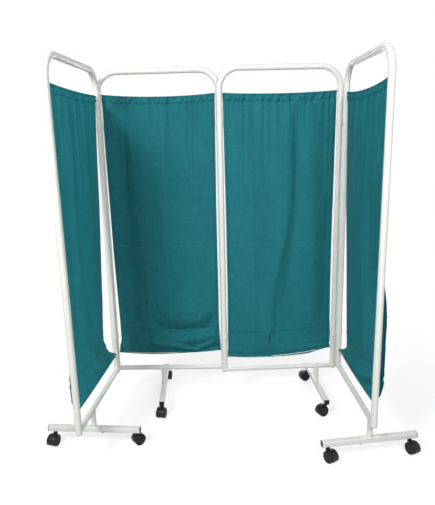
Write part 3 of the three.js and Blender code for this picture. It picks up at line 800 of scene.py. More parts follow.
def bead_tree():
    """Beads along every line of a mesh: their size is across, off and along the line."""
    tree, given, target = geometry_tree(
        "beads",
        {
            "Spacing": "NodeSocketFloat",
            "Size": "NodeSocketVector",
            "Variation": "NodeSocketFloat",
            "Detail": "NodeSocketInt",
            "Material": "NodeSocketMaterial",
        },
    )
    line = add_node(tree, "GeometryNodeMeshToCurve", None, {"Mesh": given["Geometry"]})
    values = {"Curve": line.outputs[0], "Length": given["Spacing"]}
    spots = add_node(tree, "GeometryNodeCurveToPoints", {"mode": "LENGTH"}, values)
    least = add_node(tree, "ShaderNodeMath", {"operation": "SUBTRACT"}, {0: 1.0, 1: given["Variation"]})
    values = {"Min": least.outputs[0], "Max": 1.0, "Seed": BEAD_SEED}
    spread = add_node(tree, "FunctionNodeRandomValue", {"data_type": "FLOAT"}, values)
    values = {0: given["Size"], "Scale": [out for out in spread.outputs if out.enabled][0]}
    size = add_node(tree, "ShaderNodeVectorMath", {"operation": "SCALE"}, values)
    values = {"Radius": 1.0, "Subdivisions": given["Detail"]}
    ball = add_node(tree, "GeometryNodeMeshIcoSphere", None, values)
    values = {
        "Points": spots.outputs["Points"],
        "Instance": ball.outputs[0],
        "Rotation": spots.outputs["Rotation"],
        "Scale": size.outputs[0],
    }
    beads = add_node(tree, "GeometryNodeInstanceOnPoints", None, values)
    finish_tree(tree, beads.outputs[0], given["Material"], target)
    return tree


TUBE_TREE, BEAD_TREE = bent_tube_tree(), bead_tree()


def line_mesh(name, lines):
    """A mesh of nothing but lines: each a row of points, closed where its last point is its first."""
    points, edges = [], []
    for line in lines:
        closed = (Vector(line[0]) - Vector(line[-1])).length < 1e-9
        row = list(line[:-1]) if closed else list(line)
        start = len(points)
        points += [tuple(point) for point in row]
        edges += [(start + i, start + i + 1) for i in range(len(row) - 1)]
        if closed:
            edges.append((start + len(row) - 1, start))
    mesh = bpy.data.meshes.new(name)
    mesh.from_pydata(points, edges, [])
    return mesh


def beads(name, lines, spacing, size, variation, detail, finish):
    """Beads strung along lines, as a plain mesh."""
    values = {
        "Spacing": spacing,
        "Size": size,
        "Variation": variation,
        "Detail": detail,
        "Material": finish.material,
    }
    return grown(name, BEAD_TREE, values, line_mesh(name + "_lines", lines))


print("trees", TUBE_TREE.name, "and", BEAD_TREE.name)

# %% [markdown]
# ## Frames
# Each panel's frame is one tube, bent twice. The ends of its posts are closed with a low dome.

# %% Bent frames
BEND_RADIUS = 0.095
DOME_HEIGHT = 0.005
DOME_STEPS = 7


def frame_mesh(panel):
    """The tube of a panel's frame, with a dome in the end of each post."""
    straight_end = panel.post_end + DOME_HEIGHT
    values = {
        "Width": panel.width,
        "Bottom": straight_end,
        "Top": panel.tube_line,
        "Bend Radius": BEND_RADIUS,
        "Tube Radius": TUBE_RADIUS,
        "Material": powder_coat.material,
    }
    tube = grown(f"tube_{panel.number}", TUBE_TREE, values)
    profile = [(0.0, -DOME_HEIGHT)]
    for i in range(1, DOME_STEPS + 1):
        angle = i / DOME_STEPS * math.pi / 2
        profile.append((TUBE_RADIUS * math.sin(angle), -DOME_HEIGHT * math.cos(angle)))
    dome = turned("dome", [*profile, (TUBE_RADIUS, 0.002)], TUBE_SIDES, 60.0)
    parts = [(tube, Matrix()), (dome, move(z=straight_end)), (dome, move(panel.width, z=straight_end))]
    mesh = gathered(f"frame_tube_{panel.number}", parts)
    mesh.transform(panel.matrix)
    return mesh


for panel in panels.values():
    piece = add_piece(
        f"frame_tube_{panel.number}",
        frame_mesh(panel),
        powder_coat,
        panel.body,
        "powder_coat",
        [f"frame_{panel.number}"],
    )
    print(piece.name, len(piece.data.polygons), "faces")

# %% [markdown]
# ## Welded feet
# The cross rail is welded between the posts. A short stub joins it to the square foot bar. The weld
# beads follow the real lines where two tubes meet, and the two outer feet carry a bolt.

# %% Feet
BAR_LENGTH = 0.431
BAR_SIDE = 0.0254
BAR_CORNER = 0.0032
BAR_WALL = 0.0015
# Where the bolt goes through the foot bar of an outer panel
BOLT_PLACE = {1: 0.038, 4: -0.038}
NUT_RADIUS = 0.0062
# The weld beads: how far apart they lie, how big they are across, off and along their line, and by
# what share of that some of them are smaller
WELD_SPACING = 0.0024
WELD_BEAD = (0.0021, 0.0014, 0.0021)
WELD_VARIATION = 0.22
FILLET_REACH = 0.0032
# A rail is welded to its posts above and below. Its sides stay free, as the next post swings to them.
WELD_ARCS = ((35, 145), (215, 325))


def saddle(radius, on_radius, first=0, last=360, steps=48):
    """The line where a tube along Z runs into a tube along Y: its x, y and how far up it lies."""
    points = []
    for i in range(steps + 1):
        angle = math.radians(first + (last - first) * i / steps)
        x, y = radius * math.cos(angle), radius * math.sin(angle)
        points.append((x, y, math.sqrt(max(on_radius**2 - x**2, 0.0))))
    return points


def weld_lines(panel):
    """The seams of a foot in the panel's coordinates: at both posts, and at each end of the stub."""
    arcs = [saddle(RAIL_RADIUS, TUBE_RADIUS, *ends) for ends in WELD_ARCS]
    stub_seam = saddle(RAIL_RADIUS, RAIL_RADIUS * 0.999)
    ring = circle(RAIL_RADIUS + 0.0004, 48)
    bar_top = panel.bar_bottom + BAR_SIDE
    return [
        *[[(up, x, panel.rail_line + y) for x, y, up in arc] for arc in arcs],
        *[[(panel.width - up, x, panel.rail_line + y) for x, y, up in arc] for arc in arcs],
        [(panel.foot_s + y, x, panel.rail_line - up) for x, y, up in stub_seam],
        [(panel.foot_s + x, y, bar_top) for x, y in (*ring, ring[0])],
    ]


def fillet(radius, reach, steps=6):
    """The hollow skirt of a weld round a tube that stands on a flat face."""
    profile = [(radius - 0.001, reach)]
    for i in range(steps + 1):
        angle = i / steps * math.pi / 2
        profile.append((radius + reach * (1 - math.cos(angle)), reach * (1 - math.sin(angle))))
    profile.append((radius - 0.001, -0.0005))
    return turned("fillet", profile, TUBE_SIDES, 40.0)


def bar_mesh():
    """The square bar of a foot along Y, open at both ends."""
    half = BAR_LENGTH / 2
    outer = rounded_square(BAR_SIDE, BAR_CORNER)
    inner = rounded_square(BAR_SIDE - 2 * BAR_WALL, BAR_CORNER - BAR_WALL)
    bar = prism("bar", outer, -half, half)
    hollow = prism("hollow", inner, -half - 0.01, half + 0.01)
    mesh = eased(combined(bar, [("DIFFERENCE", hollow)]), 0.0003, 2, 30, 30)
    mesh.transform(ALONG_Y)
    return mesh


def bolt_head():
    """The painted head of a coach bolt, which stands on the bar."""
    profile = [(0.0, 0.0032), (0.0022, 0.0030), (0.0045, 0.0020), (0.0062, 0.0), (0.0, -0.0005)]
    return turned("head", profile, 28, 50.0)


def nut_mesh():
    """The washer, the nut and the tip of the bolt, which hang under the bar."""
    washer = turned("washer", [(0.0, 0.0005), (0.0075, 0.0004), (0.0078, -0.0008), (0.0, -0.0012)], 28)
    hexagon = prism("nut", circle(NUT_RADIUS, 6), -0.0010, -0.0060)
    hexagon = worked(hexagon, "BEVEL", {"width": 0.0005, "segments": 2})
    profile = [(0.0, -0.0100), (0.0024, -0.0098), (0.0030, -0.0090), (0.0030, -0.0030), (0.0, -0.0030)]
    tip = turned("tip", profile, 20)
    return gathered("nut", [(washer, Matrix()), (hexagon, Matrix()), (tip, Matrix())])


BAR = bar_mesh()
for panel in panels.values():
    bar_top = panel.bar_bottom + BAR_SIDE
    round_tube = circle(RAIL_RADIUS, TUBE_SIDES)
    rail = prism("rail", round_tube, 0.0, panel.width - TUBE_RADIUS)
    stub = prism("stub", round_tube, bar_top - 0.001, panel.rail_line - 0.004)
    welds = beads("welds", weld_lines(panel), WELD_SPACING, WELD_BEAD, WELD_VARIATION, 3, powder_coat)
    in_panel = [
        (rail, move(TUBE_RADIUS / 2, z=panel.rail_line) @ ALONG_X),
        (stub, move(panel.foot_s)),
        (fillet(RAIL_RADIUS, FILLET_REACH), move(panel.foot_s, z=bar_top)),
        (welds, Matrix()),
    ]
    parts = [(mesh, panel.matrix @ place) for mesh, place in in_panel]
    parts.append((BAR, panel.foot_matrix @ move(z=panel.bar_bottom + BAR_SIDE / 2)))
    if panel.number in BOLT_PLACE:
        along = BOLT_PLACE[panel.number]
        parts.append((bolt_head(), panel.foot_matrix @ move(y=along, z=bar_top)))
        nut = nut_mesh()
        nut.transform(panel.foot_matrix @ move(y=along, z=panel.bar_bottom))
        add_piece(f"bolt_nut_{panel.number}", nut, black_plastic, panel.body, "black_plastic")
    piece = add_piece(
        f"foot_{panel.number}",
        gathered(f"foot_{panel.number}", parts),
        powder_coat,
        panel.body,
        "powder_coat",
        [f"base_{panel.number}"],
    )
    print(piece.name, len(piece.data.polygons), "faces")

# %% [markdown]
# ## Plugs in the ends of the foot bars
# Each open end of a bar takes a plastic plug: a tongue goes into the bar and a flange covers its end.

# %% End plugs
# The stations of a plug along the bar, counted from the bar's end, and its side at each
PLUG_STATIONS = [
    (-0.0140, 0.0195),
    (-0.0125, 0.0216),
    (0.0000, 0.0218),
    (0.0001, 0.0250),
    (0.0006, 0.0256),
    (0.0014, 0.0254),
    (0.0021, 0.0246),
    (0.0024, 0.0230),
    (0.0025, 0.0140),
]
PLUG_GAP = 0.0003


def plug_mesh():
    """A square plug: a tongue inside the bar and an eased flange over its end, along Y."""
    rings = []
    for along, side in PLUG_STATIONS:
        rings.append([(x, along, z) for x, z in rounded_square(side, min(BAR_CORNER, side / 4))])
    return skin("plug", rings, 25.0)


PLUG = plug_mesh()
for panel in panels.values():
    for side, sign in zip(CASTER_SIDES[panel.number], (-1, 1)):
        name = f"plug_{panel.number}_{side}"
        end = move(y=sign * (BAR_LENGTH / 2 + PLUG_GAP), z=panel.bar_bottom + BAR_SIDE / 2)
        mesh = gathered(name, [(PLUG, panel.foot_matrix @ end @ facing(sign))])
        add_piece(name, mesh, black_plastic, panel.body, "black_plastic", [f"end_{name}"])
print("plugs", 2 * len(panels))

# %% [markdown]
# ## Casters
# A twin-wheel caster has two wheels under one hood. The hood is cut from a solid: two wells for the
# wheels leave a web between them, which carries the axle, and a boss on the front holds the stem. It
# is made once and stood under each foot, turned the way that the frame's joint says.

# %% Caster hood and wheel
WHEEL_RADIUS = 0.025
WHEEL_WIDTH = 0.0185
HOOD_WIDTH = 0.042
HOOD_RADIUS = 0.0292
WELL_RADIUS = 0.0268
WEB_THICKNESS = 0.007
AXLE_TRAIL = 0.019
STEM_TOP = 0.066
# The hood covers its wheels from a little under the axle's height on one side, over the top, to a
# little over it on the other. A small arc under the axle closes its outline.
HOOD_ARC = (math.radians(-20), math.radians(172))
COVER_STEPS = 40
HUB_RADIUS = 0.008
HUB_STEPS = 8


def hood_mesh():
    """The hood in its own drawing: the stem on the origin, X trailing and Y along the axle."""
    start, end = HOOD_ARC
    cover = []
    for i in range(COVER_STEPS + 1):
        angle = start + (end - start) * i / COVER_STEPS
        cover.append((HOOD_RADIUS * math.cos(angle), HOOD_RADIUS * math.sin(angle)))
    for i in range(HUB_STEPS + 1):
        angle = end + (start + 2 * math.pi - end) * i / HUB_STEPS
        cover.append((HUB_RADIUS * math.cos(angle), HUB_RADIUS * math.sin(angle)))
    side = -HOOD_WIDTH / 2
    stations = [(side, 0.90), (side + 0.0015, 0.965), (side + 0.0045, 1.0)]
    stations += [(-along, size) for along, size in reversed(stations)]
    rings = [
        [(AXLE_TRAIL + x * size, along, WHEEL_RADIUS + z * size) for x, z in cover]
        for along, size in stations
    ]
    body = skin("hood", rings)
    boss_profile = [
        (0.0, 0.036), (0.0085, 0.036), (0.0097, 0.040), (0.0097, 0.0565), (0.0088, 0.0588),
        (0.0066, 0.0600), (0.0064, STEM_TOP - 0.0004), (0.0, STEM_TOP - 0.0004),
    ]
    boss = turned("boss", boss_profile, 36)
    steps = [("UNION", boss)]
    well_outline = [(AXLE_TRAIL + x, WHEEL_RADIUS + z) for x, z in circle(WELL_RADIUS, 72)]
    for sign in (-1, 1):
        depths = sorted((sign * WEB_THICKNESS / 2, sign * HOOD_WIDTH))
        well = skin("well", [[(x, y, z) for x, z in well_outline] for y in depths])
        steps.append(("DIFFERENCE", well))
    return eased(combined(body, steps), 0.0007, 3, 38, 32)


def steel_of_caster():
    """The stem that goes up into the bar, and the axle."""
    profile = [(0.0, 0.050), (0.0040, 0.050), (0.0040, 0.083), (0.0034, 0.084), (0.0, 0.084)]
    stem = turned("stem", profile, 24)
    half = WEB_THICKNESS / 2 + 0.014
    axle = turned("axle", [(0.0, -half), (0.003, -half), (0.003, half), (0.0, half)], 24)
    return gathered("steel", [(stem, Matrix()), (axle, move(AXLE_TRAIL, z=WHEEL_RADIUS) @ ALONG_Y)])


def wheel_mesh():
    """A wheel on its axle: the inner face on the origin, the dished outer face along Y."""
    r, w = WHEEL_RADIUS, WHEEL_WIDTH
    profile = [
        (0.0, 0.0006), (0.0060, 0.0006), (0.0064, 0.0), (r - 0.0026, 0.0), (r - 0.0010, 0.0006),
        (r - 0.0002, 0.0020), (r, 0.0040), (r, w - 0.0040), (r - 0.0002, w - 0.0022),
        (r - 0.0009, w - 0.0008), (r - 0.0022, w),
        (r - 0.0040, w), (r - 0.0048, w - 0.0006), (r - 0.0053, w - 0.0018), (r - 0.0064, w - 0.0025),
        (0.0105, w - 0.0031), (0.0092, w - 0.0030), (0.0085, w - 0.0022), (0.0080, w - 0.0010),
        (0.0072, w - 0.0005), (0.0030, w - 0.0003), (0.0, w - 0.0003),
    ]
    mesh = turned("wheel", profile, 64, 40.0)
    mesh.transform(ALONG_Y)
    return mesh


HOOD, CASTER_STEEL, WHEEL = hood_mesh(), steel_of_caster(), wheel_mesh()
for panel in panels.values():
    for side in CASTER_SIDES[panel.number]:
        name = f"caster_{panel.number}_{side}"
        axle = Vector(joints[f"{name}_wheel_a_roll"]["axis"][:2])
        stem = joints[f"{name}_swivel"]["pos_m"]
        place = stand(stem, Vector((axle.y, -axle.x)))
        hood = gathered("hood", [(HOOD, place)])
        add_piece(f"{name}_shell", hood, hood_plastic, name, "hood_plastic", [f"{name}_hood"])
        steel = gathered("steel", [(CASTER_STEEL, place)])
        add_piece(f"{name}_stem", steel, wire_steel, name, "wire_steel")
        for letter, sign in (("a", -1), ("b", 1)):
            inner = move(AXLE_TRAIL, sign * (WEB_THICKNESS / 2 + 0.0005), WHEEL_RADIUS)
            wheel = gathered("wheel", [(WHEEL, place @ inner @ facing(sign))])
            node = f"{name}_wheel_{letter}"
            add_piece(f"{name}_disc_{letter}", wheel, wheel_plastic, node, "wheel_plastic", [node])
print("casters 8, hood", len(HOOD.polygons), "faces, wheel", len(WHEEL.polygons), "faces")

# %% [markdown]
# ## Strap clips
# Each hinge line has two clips. A clip is a strap bent like a figure 8 round two posts, and its
# height and place come from the frame.

# %% Strap clips
CLIP_WALL = 0.0016
CLIP_CLEARANCE = 0.0003
CLIP_NECK = math.radians(35)
# For each hinge line: the middles of its two posts, and the number of the panel that its clips ride on
HINGE_LINES = {
    12: (panels[2].hinge, panels[1].hinge, 2),
    23: (panels[2].far, panels[3].hinge, 3),
    34: (panels[3].far, panels[4].hinge, 4),
}


def clip_mesh(pitch, height):
    """A figure-8 strap that stands on Z = 0: its first post on the origin, its second along X."""
    inner = TUBE_RADIUS + CLIP_CLEARANCE
    outer = inner + CLIP_WALL
    outline = []
    for centre, start in ((pitch, -math.pi + CLIP_NECK), (0.0, CLIP_NECK)):
        for i in range(49):
            angle = start + (2 * math.pi - 2 * CLIP_NECK) * i / 48
            outline.append((centre + outer * math.cos(angle), outer * math.sin(angle)))
    strap = prism("strap", outline, 0.0, height, 50.0)
    for centre in (0.0, pitch):
        hole = prism("hole", [(centre + x, y) for x, y in circle(inner, 56)], -0.01, height + 0.01)
        strap = combined(strap, [("DIFFERENCE", hole)])
    return eased(strap, 0.0005, 3, 50, 30)


for line, (first_post, second_post, rider) in HINGE_LINES.items():
    for level in ("upper", "lower"):
        node = f"clip_{line}_{level}"
        low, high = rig.box(node)
        mesh = clip_mesh((second_post - first_post).length, high.z - low.z)
        mesh.transform(stand(first_post, second_post - first_post, low.z))
        add_piece(f"strap_{line}_{level}", mesh, powder_coat, f"panel_{rider}", "powder_coat", [node])
print("clips", 2 * len(HINGE_LINES))

# %% [markdown]
# ## Wires
# Each curtain hangs on one wire and is held down by another. A small ring lines each hole where a
# wire goes into its post.

# %% Wires and their rings
WIRE_RADIUS = 0.002
# Half the outline of a ring as radii and heights, from its hole over its rim and back to its hole
RING_PROFILE = [
    (0.0022, -0.0008), (0.0048, -0.0008), (0.0056, 0.0002),
    (0.0050, 0.0012), (0.0036, 0.0017), (0.0022, 0.0014),
]
wires = {
    (number, level): panel.wire(level)
    for number, panel in panels.items()
    for level in ("top", "bottom")
}


def wire_height(number, level, s):
    """The height of a wire's middle at places along its panel."""
    places, heights = wires[number, level]
    slopes = np.gradient(heights, places)
    step = np.clip(np.searchsorted(places, s) - 1, 0, len(places) - 2)
    run = places[step + 1] - places[step]
    t = np.clip((s - places[step]) / run, 0.0, 1.0)
    start, end = heights[step], heights[step + 1]
    rise, fall = slopes[step] * run, slopes[step + 1] * run
    t2, t3 = t * t, t * t * t
    return (
        (2 * t3 - 3 * t2 + 1) * start
        + (t3 - 2 * t2 + t) * rise
        + (3 * t2 - 2 * t3) * end
        + (t3 - t2) * fall
    )


RING = turned("ring", RING_PROFILE, 32, 60.0)
for (number, level), (places, _) in wires.items():
    panel = panels[number]
    along = np.linspace(places[0], places[-1], 65)
    heights = wire_height(number, level, along)
    rings = [[(s, y, z + height) for y, z in circle(WIRE_RADIUS, 16)] for s, height in zip(along, heights)]
    parts = [(skin("wire", rings, 60.0), panel.matrix)]
    for s, sign in ((TUBE_RADIUS, 1), (panel.width - TUBE_RADIUS, -1)):
        height = float(wire_height(number, level, np.array([s]))[0])
        parts.append((RING, panel.matrix @ move(s, z=height) @ facing(sign) @ ALONG_X))
    name = f"{level}_wire_{number}"
    mesh = gathered(name, parts)
    add_piece(f"wire_{level}_{number}", mesh, wire_steel, panel.body, "wire_steel", [name])
print("wires", len(wires))

# %% [markdown]
# ## Curtains
# Each curtain is a sheet with a casing along its top and its bottom, threaded on the two wires. It
# starts as a drawn shape: its edges where they hang, and its main folds as soft ridges. A cloth
# simulation then lets it settle, held at the wires. The flat sheet is a little wider than the space
# between the posts, so the cloth has to fold. Depths count towards the person with the camera.

# %% Shapes that the curtains start from
CLOTH_COLUMNS, CLOTH_ROWS = 61, 121
# How much wider and longer the flat sheet is than the space that it hangs in
CLOTH_EASE = 1.022
LENGTH_EASE = 1.004
# The simulation flattens the folds, so they are drawn this many times as deep as FOLDS says
FOLD_STRENGTH = 1.7
# How far short of its wire's middle the sheet ends, and how far its edge hangs from a post's middle
CASING_HANG = 0.0015
EDGE_PLACE = 0.0168
FAR_EDGE_BOW = 0.005
RIPPLE_DEPTH = 0.0012
RIPPLE_COUNT = 3.0
# The folds grow to their full depth over these lengths above the bottom wire and under the top one
BOTTOM_HELD, TOP_HELD = 0.045, 0.10
# Which way along its n axis each panel looks towards the camera
TOWARDS_VIEWER = {1: 1, 2: -1, 3: -1, 4: -1}

# Where the edge at the hinge post hangs, as heights and distances from that post
HINGE_EDGES = {
    1: [
        (0.265, 0.017), (0.283, 0.030), (0.330, 0.095), (0.377, 0.160), (0.400, 0.160), (0.431, 0.149),
        (0.460, 0.141), (0.610, 0.106), (0.810, 0.074), (0.930, 0.058), (1.100, 0.040), (1.340, 0.026),
        (1.590, 0.017),
    ],
    2: [
        (0.269, 0.017), (0.310, 0.020), (0.340, 0.028), (0.450, 0.027), (0.830, 0.020), (1.380, 0.017),
        (1.590, 0.017),
    ],
    3: [(0.249, 0.017), (0.600, 0.021), (1.000, 0.021), (1.590, 0.017)],
    4: [
        (0.272, 0.017), (0.285, 0.036), (0.310, 0.082), (0.335, 0.126), (0.360, 0.128), (0.387, 0.122),
        (0.415, 0.112), (0.560, 0.088), (0.810, 0.060), (1.060, 0.034), (1.310, 0.021), (1.590, 0.017),
    ],
}

# How far the lower hem hangs under its wire, as places from the hinge post and drops
HEM_SAGS = {
    1: [(0.0, 0.0), (0.4, 0.003)],
    2: [(0.0, 0.0), (0.2, 0.004), (0.38, 0.0)],
    3: [(0.2, 0.0), (0.40, 0.007), (0.45, 0.008), (0.50, 0.0)],
    4: [(0.0, 0.0), (0.3, 0.003), (0.5, 0.0)],
}

# Each fold is a line of places (s, z), its width, its depth and how much wider its far side is
FOLDS = {
    1: [
        ([(0.10, 0.36), (0.08, 0.75), (0.05, 1.45)], 0.055, -0.009, 1.6),
        ([(0.56, 0.27), (0.56, 0.45)], 0.080, -0.016, 1.0),
        ([(0.25, 1.52), (0.23, 1.00), (0.26, 0.50)], 0.050, 0.006, 1.3),
        ([(0.40, 1.50), (0.43, 0.90), (0.38, 0.45)], 0.045, 0.005, 0.8),
        ([(0.03, 0.29), (0.12, 0.34), (0.22, 0.44)], 0.018, 0.011, 1.0),
        ([(0.06, 0.27), (0.20, 0.31), (0.33, 0.40)], 0.020, 0.008, 1.0),
        ([(0.15, 1.54), (0.16, 1.30)], 0.022, 0.004, 1.0),
    ],
    2: [
        ([(0.085, 1.50), (0.080, 0.95), (0.105, 0.45)], 0.040, -0.010, 1.2),
        ([(0.17, 1.52), (0.165, 1.00), (0.20, 0.55)], 0.045, 0.008, 1.3),
        ([(0.275, 1.54), (0.280, 1.20), (0.285, 0.85)], 0.035, 0.006, 1.2),
        ([(0.40, 1.50), (0.42, 0.95), (0.45, 0.60)], 0.060, 0.005, 1.0),
        ([(0.34, 0.50), (0.47, 0.48)], 0.085, 0.018, 1.0),
        ([(0.24, 0.415), (0.36, 0.400), (0.50, 0.425)], 0.030, -0.014, 1.0),
        ([(0.12, 0.36), (0.24, 0.35), (0.38, 0.345), (0.52, 0.36)], 0.024, 0.010, 1.0),
        ([(0.43, 0.280), (0.33, 0.315), (0.20, 0.330)], 0.012, 0.014, 1.0),
        ([(0.43, 0.285), (0.41, 0.350)], 0.011, 0.011, 1.0),
        ([(0.43, 0.285), (0.52, 0.330)], 0.012, 0.010, 1.0),
    ],
    3: [
        (
            [(0.332, 1.56), (0.339, 1.31), (0.341, 1.07), (0.307, 0.87), (0.251, 0.61), (0.241, 0.39)],
            0.075, 0.010, 0.30,
        ),
        ([(0.385, 1.50), (0.380, 1.00), (0.330, 0.60)], 0.030, -0.005, 1.2),
        ([(0.450, 1.54), (0.445, 1.10), (0.470, 0.50)], 0.035, 0.006, 1.0),
        ([(0.130, 1.54), (0.120, 1.00), (0.140, 0.50)], 0.055, 0.005, 1.0),
        ([(0.535, 1.00), (0.545, 0.45)], 0.030, -0.006, 1.0),
    ],
    4: [
        ([(0.10, 0.36), (0.08, 0.70), (0.05, 1.45)], 0.050, -0.005, 1.5),
        ([(0.55, 0.72), (0.56, 0.36)], 0.110, -0.023, 1.0),
        ([(0.10, 1.52), (0.20, 1.10), (0.32, 0.80)], 0.045, 0.006, 1.0),
        ([(0.28, 1.52), (0.33, 1.10), (0.40, 0.50)], 0.040, 0.006, 1.2),
        ([(0.44, 1.54), (0.45, 1.20)], 0.030, 0.005, 1.0),
        ([(0.10, 0.31), (0.30, 0.31), (0.50, 0.35)], 0.018, 0.012, 1.0),
    ],
}


def fold(s, z, points, width, depth, far_side):
    """How far one fold stands off over the cloth: a rounded ridge along a line."""
    nearest = np.full(s.shape, np.inf)
    side = np.zeros(s.shape)
    for (s0, z0), (s1, z1) in zip(points, points[1:]):
        along_s, along_z = s1 - s0, z1 - z0
        t = ((s - s0) * along_s + (z - z0) * along_z) / (along_s**2 + along_z**2)
        t = np.clip(t, 0.0, 1.0)
        off_s, off_z = s - s0 - t * along_s, z - z0 - t * along_z
        distance = np.hypot(off_s, off_z)
        side = np.where(distance < nearest, off_s, side)
        nearest = np.minimum(distance, nearest)
    reach = np.where(side > 0.0, width * far_side, width)
    return depth * np.exp(-((nearest / reach) ** 2))


def smooth_step(low, high, value):
    """0 below low, 1 above high and a smooth step between them. High may be under low."""
    t = np.clip((value - low) / (high - low), 0.0, 1.0)
    return t * t * (3 - 2 * t)


def ripples(across, count, seed):
    """Uneven ripples across a sheet, between -1 and 1: a few waves that drift in and out of step."""
    dice = np.random.default_rng(seed)
    total = np.zeros(across.shape)
    for share in (0.62, 1.0, 1.37, 1.9):
        total += np.sin(2 * np.pi * (count * share * across + dice.random())) * dice.uniform(0.5, 1.0)
    return total / 3.0


def pleats(across, count, seed):
    """Uneven pleats across a sheet, from 0 in their sharp creases to 1 on their round backs."""
    dice = np.random.default_rng(seed)
    drift = sum(np.sin(2 * np.pi * (share * across + dice.random())) for share in (1.7, 3.1, 5.3))
    return np.abs(np.sin(np.pi * (count * across + 0.35 * drift)))


def start_shape(panel):
    """Where the cloth starts, and the flat sheet that it was cut as, in the panel's coordinates."""
    number = panel.number
    across, up = np.meshgrid(np.linspace(0, 1, CLOTH_COLUMNS), np.linspace(0, 1, CLOTH_ROWS))
    heights, places = np.array(HINGE_EDGES[number]).T
    rough_height = heights[0] + (heights[-1] - heights[0]) * up
    near = np.interp(rough_height, heights, places)
    near[0], near[-1] = EDGE_PLACE, EDGE_PLACE
    far = panel.width - EDGE_PLACE - FAR_EDGE_BOW * np.sin(np.pi * up)
    s = near + (far - near) * across
    sags, drops = np.array(HEM_SAGS[number]).T
    bottom = wire_height(number, "bottom", s) + CASING_HANG - np.interp(s, sags, drops)
    top = wire_height(number, "top", s) - CASING_HANG
    z = bottom + (top - bottom) * up
    depth = sum(fold(s, z, *shape) for shape in FOLDS[number]) * FOLD_STRENGTH
    drifting = across + 0.02 * np.sin(9 * up)
    depth = depth + RIPPLE_DEPTH * ripples(drifting, RIPPLE_COUNT, 10 + number)
    held = smooth_step(0.0, BOTTOM_HELD, z - bottom) * smooth_step(0.0, TOP_HELD, top - z)
    start = np.stack([s, TOWARDS_VIEWER[number] * depth * held, z], axis=-1)
    level = ((bottom + top) / 2).mean() + (top - bottom).mean() * (up - 0.5) * LENGTH_EASE
    wide = (s - (near + far) / 2) * CLOTH_EASE + (near + far) / 2
    flat = np.stack([wide, np.zeros(s.shape), level], axis=-1)
    return start, flat


shapes = {number: start_shape(panel) for number, panel in panels.items()}
print("cloth grid", CLOTH_COLUMNS, "by", CLOTH_ROWS, "for each of", len(shapes), "curtains")

# %% [markdown]
# ## Letting the cloth settle
# The four sheets are one cloth object with four loose parts, so one short simulation settles all of
# them. Their rows at the wires are held fast, and the rest is drawn only weakly to where it started.
# A quick trial skips this and keeps the drawn shapes.

# %% Cloth simulation
SETTLING_FRAMES = 26
# How strongly the cloth is drawn to the shape that it starts from, beside 1 at the wires
DRAWN_HOLD = 0.15
CLOTH_SETTINGS = {
    "quality": 6,
    "mass": 0.12,
    "air_damping": 3.0,
    "tension_stiffness": 25.0,
    "compression_stiffness": 25.0,
    "shear_stiffness": 12.0,
    "bending_stiffness": 0.8,
    "tension_damping": 12.0,
    "compression_damping": 12.0,
    "shear_damping": 8.0,
    "bending_damping": 1.0,
    "pin_stiffness": 1.0,
}


def grid_corners(rows, columns):
    """The first corner of each square of a grid whose points are numbered row by row."""
    return (np.arange(rows - 1)[:, None] * columns + np.arange(columns - 1)).ravel()


def settled(shapes):
    """The curtains after the simulation, in the same order and the same grids."""
    starts = np.concatenate([start.reshape(-1, 3) for start, _ in shapes.values()])
    flats = np.concatenate([flat.reshape(-1, 3) for _, flat in shapes.values()])
    one_sheet = CLOTH_COLUMNS * CLOTH_ROWS
    firsts = range(0, len(starts), one_sheet)
    corner = np.concatenate([first + grid_corners(CLOTH_ROWS, CLOTH_COLUMNS) for first in firsts])
    above = corner + CLOTH_COLUMNS
    faces = np.stack([corner, corner + 1, above + 1, above], axis=1)
    mesh = bpy.data.meshes.new("settling")
    mesh.from_pydata(starts.tolist(), [], faces.tolist())
    cloth = bpy.data.objects.new("settling", mesh)
    bpy.context.scene.collection.objects.link(cloth)
    cloth.shape_key_add(name="start")
    flat_key = cloth.shape_key_add(name="flat")
    flat_key.data.foreach_set("co", flats.ravel())
    held = cloth.vertex_groups.new(name="held")
    for first in firsts:
        bottom_row = range(first, first + CLOTH_COLUMNS)
        between_wires = range(first + CLOTH_COLUMNS, first + one_sheet - CLOTH_COLUMNS)
        top_row = range(first + one_sheet - CLOTH_COLUMNS, first + one_sheet)
        held.add([*bottom_row, *top_row], 1.0, "REPLACE")
        held.add([*between_wires], DRAWN_HOLD, "REPLACE")
    modifier = cloth.modifiers.new("cloth", "CLOTH")
    for key, value in CLOTH_SETTINGS.items():
        setattr(modifier.settings, key, value)
    modifier.settings.vertex_group_mass = held.name
    modifier.settings.rest_shape_key = flat_key
    modifier.collision_settings.use_collision = False
    modifier.collision_settings.use_self_collision = False
    modifier.point_cache.frame_start = 1
    modifier.point_cache.frame_end = SETTLING_FRAMES
    scene = bpy.context.scene
    for moment in range(1, SETTLING_FRAMES + 1):
        scene.frame_set(moment)
    graph = bpy.context.evaluated_depsgraph_get()
    result = bpy.data.meshes.new_from_object(cloth.evaluated_get(graph), depsgraph=graph)
    points = np.empty(len(result.vertices) * 3)
    result.vertices.foreach_get("co", points)
    bpy.data.objects.remove(cloth)
    scene.frame_set(1)
    sheets = points.reshape(len(shapes), CLOTH_ROWS, CLOTH_COLUMNS, 3)
    return dict(zip(shapes, sheets))


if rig.quick():
    hung = {number: start for number, (start, _) in shapes.items()}
else:
    hung = settled(shapes)
for number, sheet in hung.items():
    moved = np.linalg.norm(sheet - shapes[number][0], axis=-1)
    print("curtain", number, "moved up to", round(float(moved.max()) * 1000, 1), "mm")

